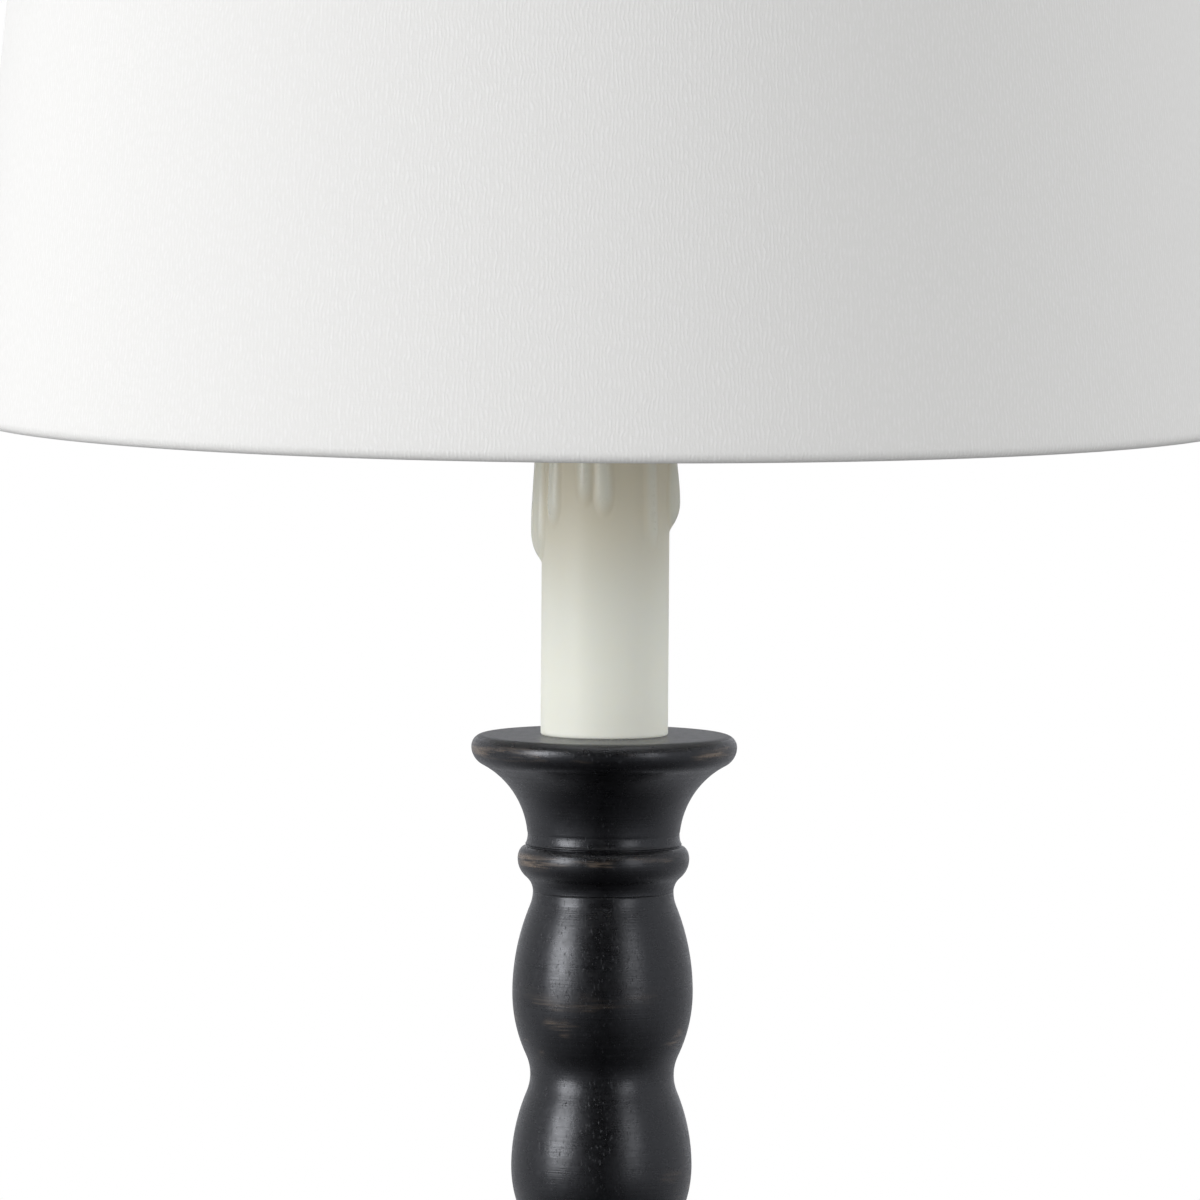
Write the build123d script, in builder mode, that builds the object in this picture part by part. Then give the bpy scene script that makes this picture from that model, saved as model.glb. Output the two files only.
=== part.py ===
from build123d import *
import os
from math import atan, cos, degrees, hypot, radians, sin

os.makedirs("parts", exist_ok=True)

# Buffet lamp: a black turned-wood column with a drip candle and a white tapered drum shade.
# Millimetres. The origin is the centre of the felt under the base, +Z is up, the front is -Y,
# the cord leaves the base at the back (+Y), the switch key points right (+X) and the harp
# stands in the YZ plane.

# Clearances
SLIDE_FIT = 0.05            # radial room of a pin that turns in its hole
LOOSE_FIT = 0.3             # radial room of a sleeve that is pushed on by hand
GLUE_GAP = 0.05             # glue line between two pieces that are stuck together
OVERCUT = 1.0               # how far a hole is cut past the far side of its wall

# Base
FELT_DIAMETER = 146.0
FELT_THICKNESS = 2.0
PLINTH_DIAMETER = 152.0
PLINTH_HEIGHT = 28.0
PLINTH_FOOT_ROUND = 1.5
PLINTH_SIDE_HEIGHT = 14.0   # height of the upright side, under the rounded shoulder
PLINTH_STEP_DIAMETER = 116.0
PLINTH_STEP_ROUND = 4.0     # height and radius of the small step round the pedestal
PLINTH_LEDGE = 3.0          # width of the flat ledge outside that step
WEIGHT_DIAMETER = 114.0
WEIGHT_THICKNESS = 7.0
RECESS_DIAMETER = 115.0
RECESS_DEPTH = 17.0
BASE_WASHER_DIAMETER = 38.0
BASE_WASHER_THICKNESS = 2.0
NUT_HEIGHT = 5.0
NUT_ACROSS_FLATS = 15.9

# Cord bushing in the back of the plinth
BUSHING_HEIGHT = 9.5        # height of its axis above the table
BUSHING_BORE = 6.4
BUSHING_BODY_DIAMETER = 8.4
BUSHING_FLANGE_DIAMETER = 10.4
BUSHING_FLANGE = 2.0
BUSHING_SEAT_DEPTH = 1.0

# Pedestal, an upturned copy of the candle cup
PEDESTAL_HEIGHT = 60.0
PEDESTAL_DIAMETER = 96.0
PEDESTAL_EDGE = 7.5         # height of its rounded lower edge
PEDESTAL_EDGE_ROUND = 4.0
PEDESTAL_EDGE_TOP_RADIUS = 6.0
PEDESTAL_TENON_DIAMETER = 40.0
PEDESTAL_TENON_LENGTH = 6.0

# Spindle with its bobbins
BOBBIN_COUNT = 7
BOBBIN_DIAMETER = 50.1
BOBBIN_LENGTH = 46.5
TOP_BOBBIN_LENGTH = 50.9    # the highest one is a little longer
BOBBIN_CROWN = 0.55         # the widest place, as a share of the length from the top
VALLEY_DIAMETER = 39.8
VALLEY_RADIUS = 12.5        # hollow between two bobbins
NECK_DIAMETER = 38.6        # under the ring of the candle cup
NECK_RADIUS = 10.0
TENON_DIAMETER = 24.0
TENON_LENGTH = 14.0
TENON_ROOM = 0.5            # empty depth at the end of a tenon's hole

# Candle cup with its ring
RIM_DIAMETER = 73.7
RIM_TOP_RADIUS = 3.3
RIM_UNDER_RADIUS = 5.5
FLARE_HEIGHT = 26.2         # from the widest place down to the throat
THROAT_DIAMETER = 42.1
THROAT_LENGTH = 1.8         # plain throat between the flare and the ring
RING_DIAMETER = 47.0
RING_SHOULDER = 1.5
RING_UNDER_RADIUS = 6.0
RING_DROP = 10.8            # from the widest place of the ring down to the neck
PEDESTAL_RING_DIAMETER = 48.0

# Threaded lamp pipe and the hole for it
PIPE_DIAMETER = 9.8
PIPE_BORE = 6.4
PIPE_HOLE_DIAMETER = 10.6
PIPE_END_HEIGHT = 4.0       # its lower end above the table
PIPE_ABOVE_SADDLE = 12.0
CUP_WASHER_DIAMETER = 26.0
CUP_WASHER_THICKNESS = 1.5

# Candle sleeve
SLEEVE_DIAMETER = 35.3
SLEEVE_WALL = 1.8
SLEEVE_LENGTH = 121.4
DRIP_ROOT = 2.0             # how deep the middle of a drip lies under the sleeve's face
DRIP_TOP_SHARE = 0.7        # how far a drip stands out at the top, as a share of its bead
DRIP_TIP = 8.5              # from the fullest place of the bead down to its tip
DRIPS = (                   # bearing in degrees, height of the tip over the cup, standing out
    (183, 47.5, 2.9),
    (216, 57.0, 1.0),
    (247, 61.0, 0.9),
    (283, 62.5, 0.9),
    (322, 52.0, 1.1),
    (359, 56.0, 3.4),
    (42, 49.0, 2.2),
    (88, 66.0, 2.6),
    (131, 44.0, 2.4),
)
SLEEVE_CAP_DIAMETER = 42.0
SLEEVE_CAP_FLANGE = 2.0
SLEEVE_CAP_SPIGOT = 5.0

# Harp saddle
SADDLE_THICKNESS = 2.0
SADDLE_WIDTH = 11.0
SADDLE_SPAN = 58.0          # between the middles of its two upright ends
SADDLE_HEIGHT = 16.0
SADDLE_BEND = 3.0           # inside radius of the bends
LAP_LENGTH = 9.0            # half-lap that joins the saddle and the harp
LAP_GAP = 0.2

# Harp
HARP_HEIGHT = 203.2         # from the saddle to the seat of the shade
HARP_WIDTH = 108.0          # between the middles of its two sides
HARP_WIRE = 4.0
HARP_LEG_TOP = 58.0         # corner where a straight leg starts to lean out
HARP_SHOULDER = 92.0        # corner where it stands upright again
HARP_LEG_RADIUS = 30.0
HARP_TOP_RADIUS = 42.0
FERRULE_LENGTH = 15.0
FERRULE_WALL = 1.5
BOSS_DIAMETER = 10.0
BOSS_HEIGHT = 6.0
RIVET_DIAMETER = 4.0
RIVET_HEAD_DIAMETER = 7.0
RIVET_HEAD = 1.2
RIVET_PLAY = 0.1
STUD_DISC_DIAMETER = 16.0
STUD_DISC = 1.6
STUD_DIAMETER = 6.35
STUD_LENGTH = 14.0

# Shade and its spider
SHADE_BOTTOM_DIAMETER = 355.6
SHADE_TOP_DIAMETER = 304.8
SHADE_HEIGHT = 254.0
FABRIC_THICKNESS = 0.7
LINER_THICKNESS = 0.8
HEM_TURN_IN = 4.0           # free edge of the fabric past the wire it is rolled round
SHADE_WIRE = 3.2
WIRE_ROOM = 0.5
SPIDER_ARM_COUNT = 3
SPIDER_ARM_WIRE = 2.8
SPIDER_FIRST_BEARING = 60.0
SPIDER_RECESS = 12.7        # how far the washer hangs below the top rim
SPIDER_BEND_RADIUS = 10.0
SPIDER_DROP_START = 46.0    # distance from the middle where an arm starts to fall
SPIDER_DROP_END = 30.0
SPIDER_WASHER_DIAMETER = 32.0
SPIDER_WASHER_HOLE = 11.1
SPIDER_WASHER = 1.6

# Finial
FINIAL_FOOT_DIAMETER = 20.0
FINIAL_FOOT = 3.0
FINIAL_NECK_DIAMETER = 13.0
FINIAL_BALL_DIAMETER = 24.0
FINIAL_NECK_HEIGHT = 6.0
INSERT_DIAMETER = 9.5
INSERT_LENGTH = 15.0

# Lamp socket
SOCKET_DIAMETER = 33.2
SOCKET_WALL = 0.8
SOCKET_HUB_DIAMETER = 14.0
SOCKET_HUB_HEIGHT = 8.0
SOCKET_CAP_SLOPE_TOP = 15.0
SOCKET_CAP_HEIGHT = 24.0
SHELL_FOOT = 17.5           # how far above the saddle the shell starts, inside the cap
SHELL_BEAD = 3.0
SHELL_TOP = 62.0
FIBRE_THICKNESS = 0.6
BODY_DIAMETER = 27.6
BODY_FOOT = 17.0
BODY_TOP = 40.0
SCREW_SHELL_WALL = 0.5
SCREW_SHELL_FLOOR_HOLE = 12.0
CONTACT_LENGTH = 9.0
CONTACT_WIDTH = 5.0
CONTACT_STRIP = 0.5
CONTACT_RISE = 4.2
TERMINAL_HEIGHT = 30.0
TERMINAL_HEAD_DIAMETER = 7.0
TERMINAL_HEAD = 2.2
TERMINAL_SHANK_DIAMETER = 3.5
TERMINAL_SHANK = 5.0
TERMINAL_FLAT = 21.0        # across the two flats that the screw heads sit on
SET_SCREW_DIAMETER = 3.5
SET_SCREW_LENGTH = 5.5

# Switch key
KEY_HEIGHT = 30.0           # its axis above the saddle
KEY_SHAFT_DIAMETER = 4.5
KEY_SHAFT_START = 5.0
KEY_HOLE_DIAMETER = 8.0     # through the shell and the fibre liner
KNOB_START = 18.5
KNOB_LENGTH = 14.5
KNOB_DIAMETER = 12.0
KNOB_FLUTES = 10
KNOB_FLUTE_DIAMETER = 2.2
KNOB_SOCKET = 8.0           # how deep the shaft goes into the knob

# Bulb
BULB_DIAMETER = 60.0
BULB_LENGTH = 108.0
BULB_GLASS_WALL = 1.0
BULB_NECK_DIAMETER = 24.6
BULB_NECK_TOP = 28.0        # where the plain neck starts, above the bulb's lower end
BULB_NECK_IN_CAP = 7.0
BULB_CAP_DIAMETER = 26.0
BULB_CAP_WALL = 0.6
BULB_CAP_FOOT = 5.0
BULB_CAP_TOP = 27.0
BULB_SHOULDER_RADIUS = 45.0
BULB_CONTACT_DIAMETER = 9.0
BULB_CONTACT = 1.2
BULB_SEAT_GAP = 0.1

# Levels, from the table up
PLINTH_TOP = FELT_THICKNESS + PLINTH_HEIGHT
RECESS_TOP = FELT_THICKNESS + RECESS_DEPTH
PEDESTAL_TOP = PLINTH_TOP + PEDESTAL_HEIGHT
SPINDLE_TOP = PEDESTAL_TOP + TOP_BOBBIN_LENGTH + (BOBBIN_COUNT - 1) * BOBBIN_LENGTH
RING_MIDDLE = SPINDLE_TOP + RING_DROP
THROAT_FOOT = RING_MIDDLE + RING_SHOULDER
CUP_WIDEST = THROAT_FOOT + THROAT_LENGTH + FLARE_HEIGHT
CUP_TOP = CUP_WIDEST + RIM_TOP_RADIUS
SLEEVE_TOP = CUP_TOP + SLEEVE_LENGTH
SADDLE_FOOT = SLEEVE_TOP + SLEEVE_CAP_FLANGE
SADDLE_SEAT = SADDLE_FOOT + SADDLE_THICKNESS
SADDLE_SHOULDER = SADDLE_FOOT + SADDLE_HEIGHT
SHADE_SEAT = SADDLE_SEAT + HARP_HEIGHT
BOSS_TOP = SHADE_SEAT - STUD_DISC
HARP_TOP = BOSS_TOP - BOSS_HEIGHT / 2
SHADE_TOP = SHADE_SEAT + SPIDER_RECESS
SHADE_BOTTOM = SHADE_TOP - SHADE_HEIGHT
FINIAL_SEAT = SHADE_SEAT + SPIDER_WASHER

# Radii used by more than one piece
PIPE_HOLE = PIPE_HOLE_DIAMETER / 2
PIPE_FIT_RADIUS = PIPE_DIAMETER / 2 + SLIDE_FIT
SLEEVE_RADIUS = SLEEVE_DIAMETER / 2
SLEEVE_BORE_RADIUS = SLEEVE_RADIUS - SLEEVE_WALL
SHELL_RADIUS = SOCKET_DIAMETER / 2 - SOCKET_WALL - SLIDE_FIT


def ogee(start, drop, widen, first_radius):
    """Draw an S of two arcs that falls by drop and moves out by widen, upright at both ends."""
    turn = 2 * atan(abs(widen) / drop)
    second_radius = drop / sin(turn) - first_radius
    way = degrees(turn) if widen > 0 else -degrees(turn)
    first = JernArc(start, (0, -1), first_radius, way)
    second = JernArc(first @ 1, first % 1, second_radius, -way)
    return second @ 1


def ogee_total(drop, widen):
    """The sum of the two radii of such an S."""
    return drop / sin(2 * atan(abs(widen) / drop))


# Felt pad under the base
with BuildPart() as felt_pad:
    with BuildSketch():
        Circle(FELT_DIAMETER / 2)
    extrude(amount=FELT_THICKNESS)

# Turned plinth: a stepped disc, hollow below for the weight, with a seat for the bushing behind
with BuildPart() as plinth:
    with BuildSketch(Plane.XZ):
        with BuildLine():
            edge = PLINTH_DIAMETER / 2
            side_top = FELT_THICKNESS + PLINTH_SIDE_HEIGHT
            step_foot = PLINTH_TOP - PLINTH_STEP_ROUND
            ledge_end = PLINTH_STEP_DIAMETER / 2 + PLINTH_LEDGE
            top = Line(
                (PIPE_HOLE, PLINTH_TOP),
                (PLINTH_STEP_DIAMETER / 2 - PLINTH_STEP_ROUND, PLINTH_TOP),
            )
            step = JernArc(top @ 1, (1, 0), PLINTH_STEP_ROUND, -90)
            Line(step @ 1, (ledge_end, step_foot))
            shoulder = EllipticalCenterArc(
                (ledge_end, side_top), edge - ledge_end, step_foot - side_top, 0, arc_size=90
            )
            side = Line((edge, side_top), (edge, FELT_THICKNESS + PLINTH_FOOT_ROUND))
            foot = JernArc(side @ 1, (0, -1), PLINTH_FOOT_ROUND, -90)
            Polyline(
                foot @ 1,
                (RECESS_DIAMETER / 2, FELT_THICKNESS),
                (RECESS_DIAMETER / 2, RECESS_TOP),
                (PIPE_HOLE, RECESS_TOP),
                top @ 0,
            )
        make_face()
    revolve(axis=Axis.Z)
    with Locations((0, 0, PLINTH_TOP)):
        Hole(PEDESTAL_TENON_DIAMETER / 2 + GLUE_GAP, PEDESTAL_TENON_LENGTH + TENON_ROOM)
    with Locations(Plane((0, PLINTH_DIAMETER / 2, BUSHING_HEIGHT), z_dir=(0, 1, 0))):
        CounterBoreHole(
            BUSHING_BODY_DIAMETER / 2 + GLUE_GAP,
            BUSHING_FLANGE_DIAMETER / 2 + LOOSE_FIT,
            BUSHING_SEAT_DEPTH,
            (PLINTH_DIAMETER - RECESS_DIAMETER) / 2 + OVERCUT,
        )

# Cast-iron weight in the hollow of the plinth
with BuildPart() as base_weight:
    with BuildSketch(Plane.XY.offset(RECESS_TOP - WEIGHT_THICKNESS)):
        Circle(WEIGHT_DIAMETER / 2)
        Circle(PIPE_HOLE, mode=Mode.SUBTRACT)
    extrude(amount=WEIGHT_THICKNESS)
    fillet(base_weight.edges().filter_by(GeomType.CIRCLE).sort_by(Edge.length)[-2:], 1)

# Wide washer and hexagon nut that pull the column down on the weight
washer_foot = RECESS_TOP - WEIGHT_THICKNESS - BASE_WASHER_THICKNESS
with BuildPart() as base_washer:
    with BuildSketch(Plane.XY.offset(washer_foot)):
        Circle(BASE_WASHER_DIAMETER / 2)
        Circle(PIPE_FIT_RADIUS, mode=Mode.SUBTRACT)
    extrude(amount=BASE_WASHER_THICKNESS)

with BuildPart() as base_nut:
    with BuildSketch(Plane.XY.offset(washer_foot - NUT_HEIGHT)):
        RegularPolygon(NUT_ACROSS_FLATS / 2, 6, major_radius=False)
        Circle(PIPE_FIT_RADIUS, mode=Mode.SUBTRACT)
    extrude(amount=NUT_HEIGHT)

# Plastic bushing for the cord, pushed into the back of the plinth
bushing_face = PLINTH_DIAMETER / 2 - BUSHING_SEAT_DEPTH
with BuildPart() as cord_bushing:
    with BuildSketch(Plane((0, bushing_face, BUSHING_HEIGHT), z_dir=(0, 1, 0))):
        Circle(BUSHING_FLANGE_DIAMETER / 2)
        Circle(BUSHING_BORE / 2, mode=Mode.SUBTRACT)
    extrude(amount=BUSHING_FLANGE)
    with BuildSketch(Plane((0, bushing_face, BUSHING_HEIGHT), z_dir=(0, 1, 0))):
        Circle(BUSHING_BODY_DIAMETER / 2)
        Circle(BUSHING_BORE / 2, mode=Mode.SUBTRACT)
    extrude(amount=RECESS_DIAMETER / 2 - bushing_face)
    outer_edge = cord_bushing.edges().filter_by(GeomType.CIRCLE).group_by(Axis.Y)[-1]
    fillet(outer_edge.sort_by(Edge.length)[-1], BUSHING_FLANGE / 3)

# Pedestal: a ring, a trumpet and a rounded edge, with a tenon in the plinth
with BuildPart() as pedestal:
    with BuildSketch(Plane.XZ):
        with BuildLine():
            ring = PEDESTAL_RING_DIAMETER / 2
            throat = THROAT_DIAMETER / 2
            edge = PEDESTAL_DIAMETER / 2
            edge_top = PLINTH_TOP + PEDESTAL_EDGE
            top = Line((PIPE_HOLE, PEDESTAL_TOP), (VALLEY_DIAMETER / 2, PEDESTAL_TOP))
            ring_side = ogee(top @ 1, RING_DROP, ring - VALLEY_DIAMETER / 2, NECK_RADIUS)
            under = JernArc(ring_side, (0, -1), RING_SHOULDER, -90)
            quirk = Line(under @ 1, (throat, (under @ 1).Y))
            trumpet_drop = (quirk @ 1).Y - edge_top
            trumpet_first = ogee_total(trumpet_drop, edge - throat) - PEDESTAL_EDGE_TOP_RADIUS
            edge_start = ogee(quirk @ 1, trumpet_drop, edge - throat, trumpet_first)
            side = Line(edge_start, (edge, PLINTH_TOP + PEDESTAL_EDGE_ROUND))
            foot = JernArc(side @ 1, (0, -1), PEDESTAL_EDGE_ROUND, -90)
            tenon = PEDESTAL_TENON_DIAMETER / 2
            Polyline(
                foot @ 1,
                (tenon, PLINTH_TOP),
                (tenon, PLINTH_TOP - PEDESTAL_TENON_LENGTH),
                (PIPE_HOLE, PLINTH_TOP - PEDESTAL_TENON_LENGTH),
                top @ 0,
            )
        make_face()
    revolve(axis=Axis.Z)
    with Locations((0, 0, PEDESTAL_TOP)):
        Hole(TENON_DIAMETER / 2 + GLUE_GAP, TENON_LENGTH + TENON_ROOM)

# Spindle: bobbins one below the other, each fullest a little below its middle
with BuildPart() as spindle:
    with BuildSketch(Plane.XZ):
        with BuildLine():
            crown = BOBBIN_DIAMETER / 2
            valley = VALLEY_DIAMETER / 2
            top = Line((PIPE_HOLE, SPINDLE_TOP), (NECK_DIAMETER / 2, SPINDLE_TOP))
            point = top @ 1
            hollow = NECK_RADIUS
            for number in range(BOBBIN_COUNT):
                length = BOBBIN_LENGTH if number else TOP_BOBBIN_LENGTH
                upper = length * BOBBIN_CROWN
                lower = length - upper
                point = ogee(point, upper, crown - point.X, hollow)
                belly = ogee_total(lower, crown - valley) - VALLEY_RADIUS
                point = ogee(point, lower, valley - crown, belly)
                hollow = VALLEY_RADIUS
            tenon = TENON_DIAMETER / 2
            Polyline(
                point,
                (tenon, PEDESTAL_TOP),
                (tenon, PEDESTAL_TOP - TENON_LENGTH),
                (PIPE_HOLE, PEDESTAL_TOP - TENON_LENGTH),
                top @ 0,
            )
        make_face()
    revolve(axis=Axis.Z)
    with Locations((0, 0, SPINDLE_TOP)):
        Hole(TENON_DIAMETER / 2 + GLUE_GAP, TENON_LENGTH + TENON_ROOM)

# Candle cup: a flat top with a rounded rim, a flare down to the throat and a ring under it
with BuildPart() as candle_cup:
    with BuildSketch(Plane.XZ):
        with BuildLine():
            rim = RIM_DIAMETER / 2
            throat = THROAT_DIAMETER / 2
            ring = RING_DIAMETER / 2
            top = Line((PIPE_HOLE, CUP_TOP), (rim - RIM_TOP_RADIUS, CUP_TOP))
            rim_arc = JernArc(top @ 1, (1, 0), RIM_TOP_RADIUS, -90)
            flare_foot = ogee(rim_arc @ 1, FLARE_HEIGHT, throat - rim, RIM_UNDER_RADIUS)
            quirk = Polyline(flare_foot, (throat, THROAT_FOOT), (ring - RING_SHOULDER, THROAT_FOOT))
            shoulder = JernArc(quirk @ 1, (1, 0), RING_SHOULDER, -90)
            neck = ogee(
                shoulder @ 1, RING_DROP, NECK_DIAMETER / 2 - ring, RING_UNDER_RADIUS
            )
            tenon = TENON_DIAMETER / 2
            Polyline(
                neck,
                (tenon, SPINDLE_TOP),
                (tenon, SPINDLE_TOP - TENON_LENGTH),
                (PIPE_HOLE, SPINDLE_TOP - TENON_LENGTH),
                top @ 0,
            )
        make_face()
    revolve(axis=Axis.Z)

# Threaded steel pipe through the whole column, from the nut in the base to the socket
with BuildPart() as lamp_pipe:
    with BuildSketch(Plane.XY.offset(PIPE_END_HEIGHT)):
        Circle(PIPE_DIAMETER / 2)
        Circle(PIPE_BORE / 2, mode=Mode.SUBTRACT)
    extrude(amount=SADDLE_SEAT + PIPE_ABOVE_SADDLE - PIPE_END_HEIGHT)

# Washer and nut on top of the cup, out of sight inside the candle
with BuildPart() as cup_washer:
    with BuildSketch(Plane.XY.offset(CUP_TOP)):
        Circle(CUP_WASHER_DIAMETER / 2)
        Circle(PIPE_FIT_RADIUS, mode=Mode.SUBTRACT)
    extrude(amount=CUP_WASHER_THICKNESS)

with BuildPart() as cup_nut:
    with BuildSketch(Plane.XY.offset(CUP_TOP + CUP_WASHER_THICKNESS)):
        RegularPolygon(NUT_ACROSS_FLATS / 2, 6, major_radius=False)
        Circle(PIPE_FIT_RADIUS, mode=Mode.SUBTRACT)
    extrude(amount=NUT_HEIGHT)

# Candle sleeve: a moulded tube with runs of wax, each thin above and a full bead at its tip
with BuildPart() as candle_sleeve:
    with BuildSketch(Plane.XY.offset(CUP_TOP)):
        Circle(SLEEVE_RADIUS)
    extrude(amount=SLEEVE_LENGTH)
    for bearing, tip, stand_out in DRIPS:
        out = (cos(radians(bearing)), sin(radians(bearing)))
        foot = [(SLEEVE_RADIUS - DRIP_ROOT) * part for part in out] + [CUP_TOP]
        bead = DRIP_ROOT + stand_out
        run = DRIP_ROOT + stand_out * DRIP_TOP_SHARE
        drip_plane = Plane(foot, x_dir=(*out, 0), z_dir=(out[1], -out[0], 0))
        with BuildSketch(drip_plane):
            with BuildLine():
                TangentArc((bead, tip + DRIP_TIP), (0, tip), tangent=(0, -1))
                Polyline(
                    (bead, tip + DRIP_TIP), (run, SLEEVE_LENGTH), (0, SLEEVE_LENGTH), (0, tip)
                )
            make_face()
        revolve(axis=Axis(foot, (0, 0, 1)))
    with Locations((0, 0, SLEEVE_TOP)):
        Hole(SLEEVE_BORE_RADIUS, SLEEVE_LENGTH)

# Brass cap that closes the sleeve and centres it on the pipe
with BuildPart() as sleeve_cap:
    with BuildSketch(Plane.XZ):
        with BuildLine():
            spigot = SLEEVE_BORE_RADIUS - LOOSE_FIT
            Polyline(
                (PIPE_FIT_RADIUS, SLEEVE_TOP - SLEEVE_CAP_SPIGOT),
                (spigot, SLEEVE_TOP - SLEEVE_CAP_SPIGOT),
                (spigot, SLEEVE_TOP),
                (SLEEVE_CAP_DIAMETER / 2, SLEEVE_TOP),
                (SLEEVE_CAP_DIAMETER / 2, SADDLE_FOOT),
                (PIPE_FIT_RADIUS, SADDLE_FOOT),
                close=True,
            )
        make_face()
    revolve(axis=Axis.Z)
    rim_edge = sleeve_cap.edges().filter_by(GeomType.CIRCLE).group_by(Axis.Z)[-1]
    fillet(rim_edge.sort_by(Edge.length)[-1], SLEEVE_CAP_FLANGE / 2)

# Harp saddle: a strip bent up at both ends, each end with one half of a lap joint
with BuildPart() as harp_saddle:
    half = SADDLE_SPAN / 2
    wall = SADDLE_THICKNESS / 2
    with BuildSketch(Plane.YZ):
        with BuildLine():
            outside = FilletPolyline(
                (half + wall, SADDLE_SHOULDER),
                (half + wall, SADDLE_FOOT),
                (-half - wall, SADDLE_FOOT),
                (-half - wall, SADDLE_SHOULDER),
                radius=SADDLE_BEND + SADDLE_THICKNESS,
            )
            inside = FilletPolyline(
                (half - wall, SADDLE_SHOULDER),
                (half - wall, SADDLE_SEAT),
                (-half + wall, SADDLE_SEAT),
                (-half + wall, SADDLE_SHOULDER),
                radius=SADDLE_BEND,
            )
            Line(outside @ 0, inside @ 0)
            Line(outside @ 1, inside @ 1)
        make_face()
    extrude(amount=SADDLE_WIDTH / 2, both=True)
    with Locations((0, 0, SADDLE_SEAT)):
        Hole(PIPE_FIT_RADIUS, SADDLE_THICKNESS)
    with BuildSketch(Plane.XY.offset(SADDLE_SHOULDER)):
        with Locations((0, half), (0, -half)):
            Circle(HARP_WIRE / 2)
        with Locations((0, half), (0, -half)):
            Rectangle(HARP_WIRE, LAP_GAP, mode=Mode.SUBTRACT)
        with Locations((0, half + HARP_WIRE / 2), (0, -half - HARP_WIRE / 2)):
            Rectangle(HARP_WIRE, HARP_WIRE, mode=Mode.SUBTRACT)
    extrude(amount=LAP_LENGTH)

# Harp: one bent wire loop whose legs end in the other half of the lap, with a drilled boss on top
with BuildPart() as harp_bow:
    leg = SADDLE_SPAN / 2
    side = HARP_WIDTH / 2
    leg_foot = SADDLE_SHOULDER + LAP_GAP
    with BuildLine(Plane.YZ) as harp_line:
        FilletPolyline(
            (leg, leg_foot),
            (leg, SADDLE_FOOT + HARP_LEG_TOP),
            (side, SADDLE_FOOT + HARP_SHOULDER),
            (side, HARP_TOP),
            (-side, HARP_TOP),
            (-side, SADDLE_FOOT + HARP_SHOULDER),
            (-leg, SADDLE_FOOT + HARP_LEG_TOP),
            (-leg, leg_foot),
            radius=[
                HARP_LEG_RADIUS,
                HARP_LEG_RADIUS,
                HARP_TOP_RADIUS,
                HARP_TOP_RADIUS,
                HARP_LEG_RADIUS,
                HARP_LEG_RADIUS,
            ],
        )
    with BuildSketch(Plane((0, leg, leg_foot))):
        Circle(HARP_WIRE / 2)
    sweep(path=harp_line.wires()[0])
    with BuildSketch(Plane.XY.offset(leg_foot)):
        with Locations((0, leg - HARP_WIRE / 2), (0, -leg + HARP_WIRE / 2)):
            Rectangle(HARP_WIRE, HARP_WIRE + LAP_GAP)
    extrude(amount=LAP_LENGTH, mode=Mode.SUBTRACT)
    with BuildSketch(Plane.XY.offset(BOSS_TOP - BOSS_HEIGHT)):
        Circle(BOSS_DIAMETER / 2)
    extrude(amount=BOSS_HEIGHT)
    with Locations((0, 0, BOSS_TOP)):
        Hole(RIVET_DIAMETER / 2 + SLIDE_FIT, BOSS_HEIGHT)

# Ferrules that slide down over the two lap joints and lock them
with BuildPart() as ferrule_rear:
    with BuildSketch(Plane.XY.offset(SADDLE_SHOULDER)):
        with Locations((0, SADDLE_SPAN / 2)):
            Circle(HARP_WIRE / 2 + LOOSE_FIT + FERRULE_WALL)
            Circle(HARP_WIRE / 2 + LOOSE_FIT, mode=Mode.SUBTRACT)
    extrude(amount=FERRULE_LENGTH)

with BuildPart() as ferrule_front:
    mirror(ferrule_rear.part, about=Plane.XZ)

# Swivel stud on top of the harp: rivet, disc that carries the shade, and thread for the finial
with BuildPart() as harp_stud:
    rivet_foot = BOSS_TOP - BOSS_HEIGHT - RIVET_PLAY
    with BuildSketch(Plane.XY.offset(rivet_foot - RIVET_HEAD)):
        Circle(RIVET_HEAD_DIAMETER / 2)
    extrude(amount=RIVET_HEAD)
    with BuildSketch(Plane.XY.offset(rivet_foot)):
        Circle(RIVET_DIAMETER / 2)
    extrude(amount=BOSS_HEIGHT + RIVET_PLAY)
    with BuildSketch(Plane.XY.offset(BOSS_TOP)):
        Circle(STUD_DISC_DIAMETER / 2)
    extrude(amount=STUD_DISC)
    with BuildSketch(Plane.XY.offset(SHADE_SEAT)):
        Circle(STUD_DIAMETER / 2)
    extrude(amount=STUD_LENGTH)
    chamfer(harp_stud.faces().sort_by(Axis.Z)[-1].edges(), STUD_DIAMETER / 12)

# Shade: its wall is drawn flat along the slope, x up the slope and y inward
shade_bottom_radius = SHADE_BOTTOM_DIAMETER / 2
shade_lean = (SHADE_BOTTOM_DIAMETER - SHADE_TOP_DIAMETER) / 2
slope = hypot(SHADE_HEIGHT, shade_lean)
slope_plane = Plane(
    (shade_bottom_radius, 0, SHADE_BOTTOM), x_dir=(-shade_lean, 0, SHADE_HEIGHT), z_dir=(0, -1, 0)
)
wire_radius = SHADE_WIRE / 2
hem_inside = wire_radius + WIRE_ROOM
hem_outside = hem_inside + FABRIC_THICKNESS
wire_low = (hem_outside, hem_outside)
wire_high = (slope - hem_outside, hem_outside)
ring_point = slope_plane.from_local_coords((*wire_high, 0))
ring_plane = Plane(ring_point, z_dir=(-1, 0, 0))

# Room for one arm of the spider, cut through the turned-in edge of the top hem
with BuildPart() as arm_slit:
    with BuildSketch(ring_plane):
        Circle(SPIDER_ARM_WIRE / 2 + WIRE_ROOM)
    extrude(amount=2 * hem_outside)

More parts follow.
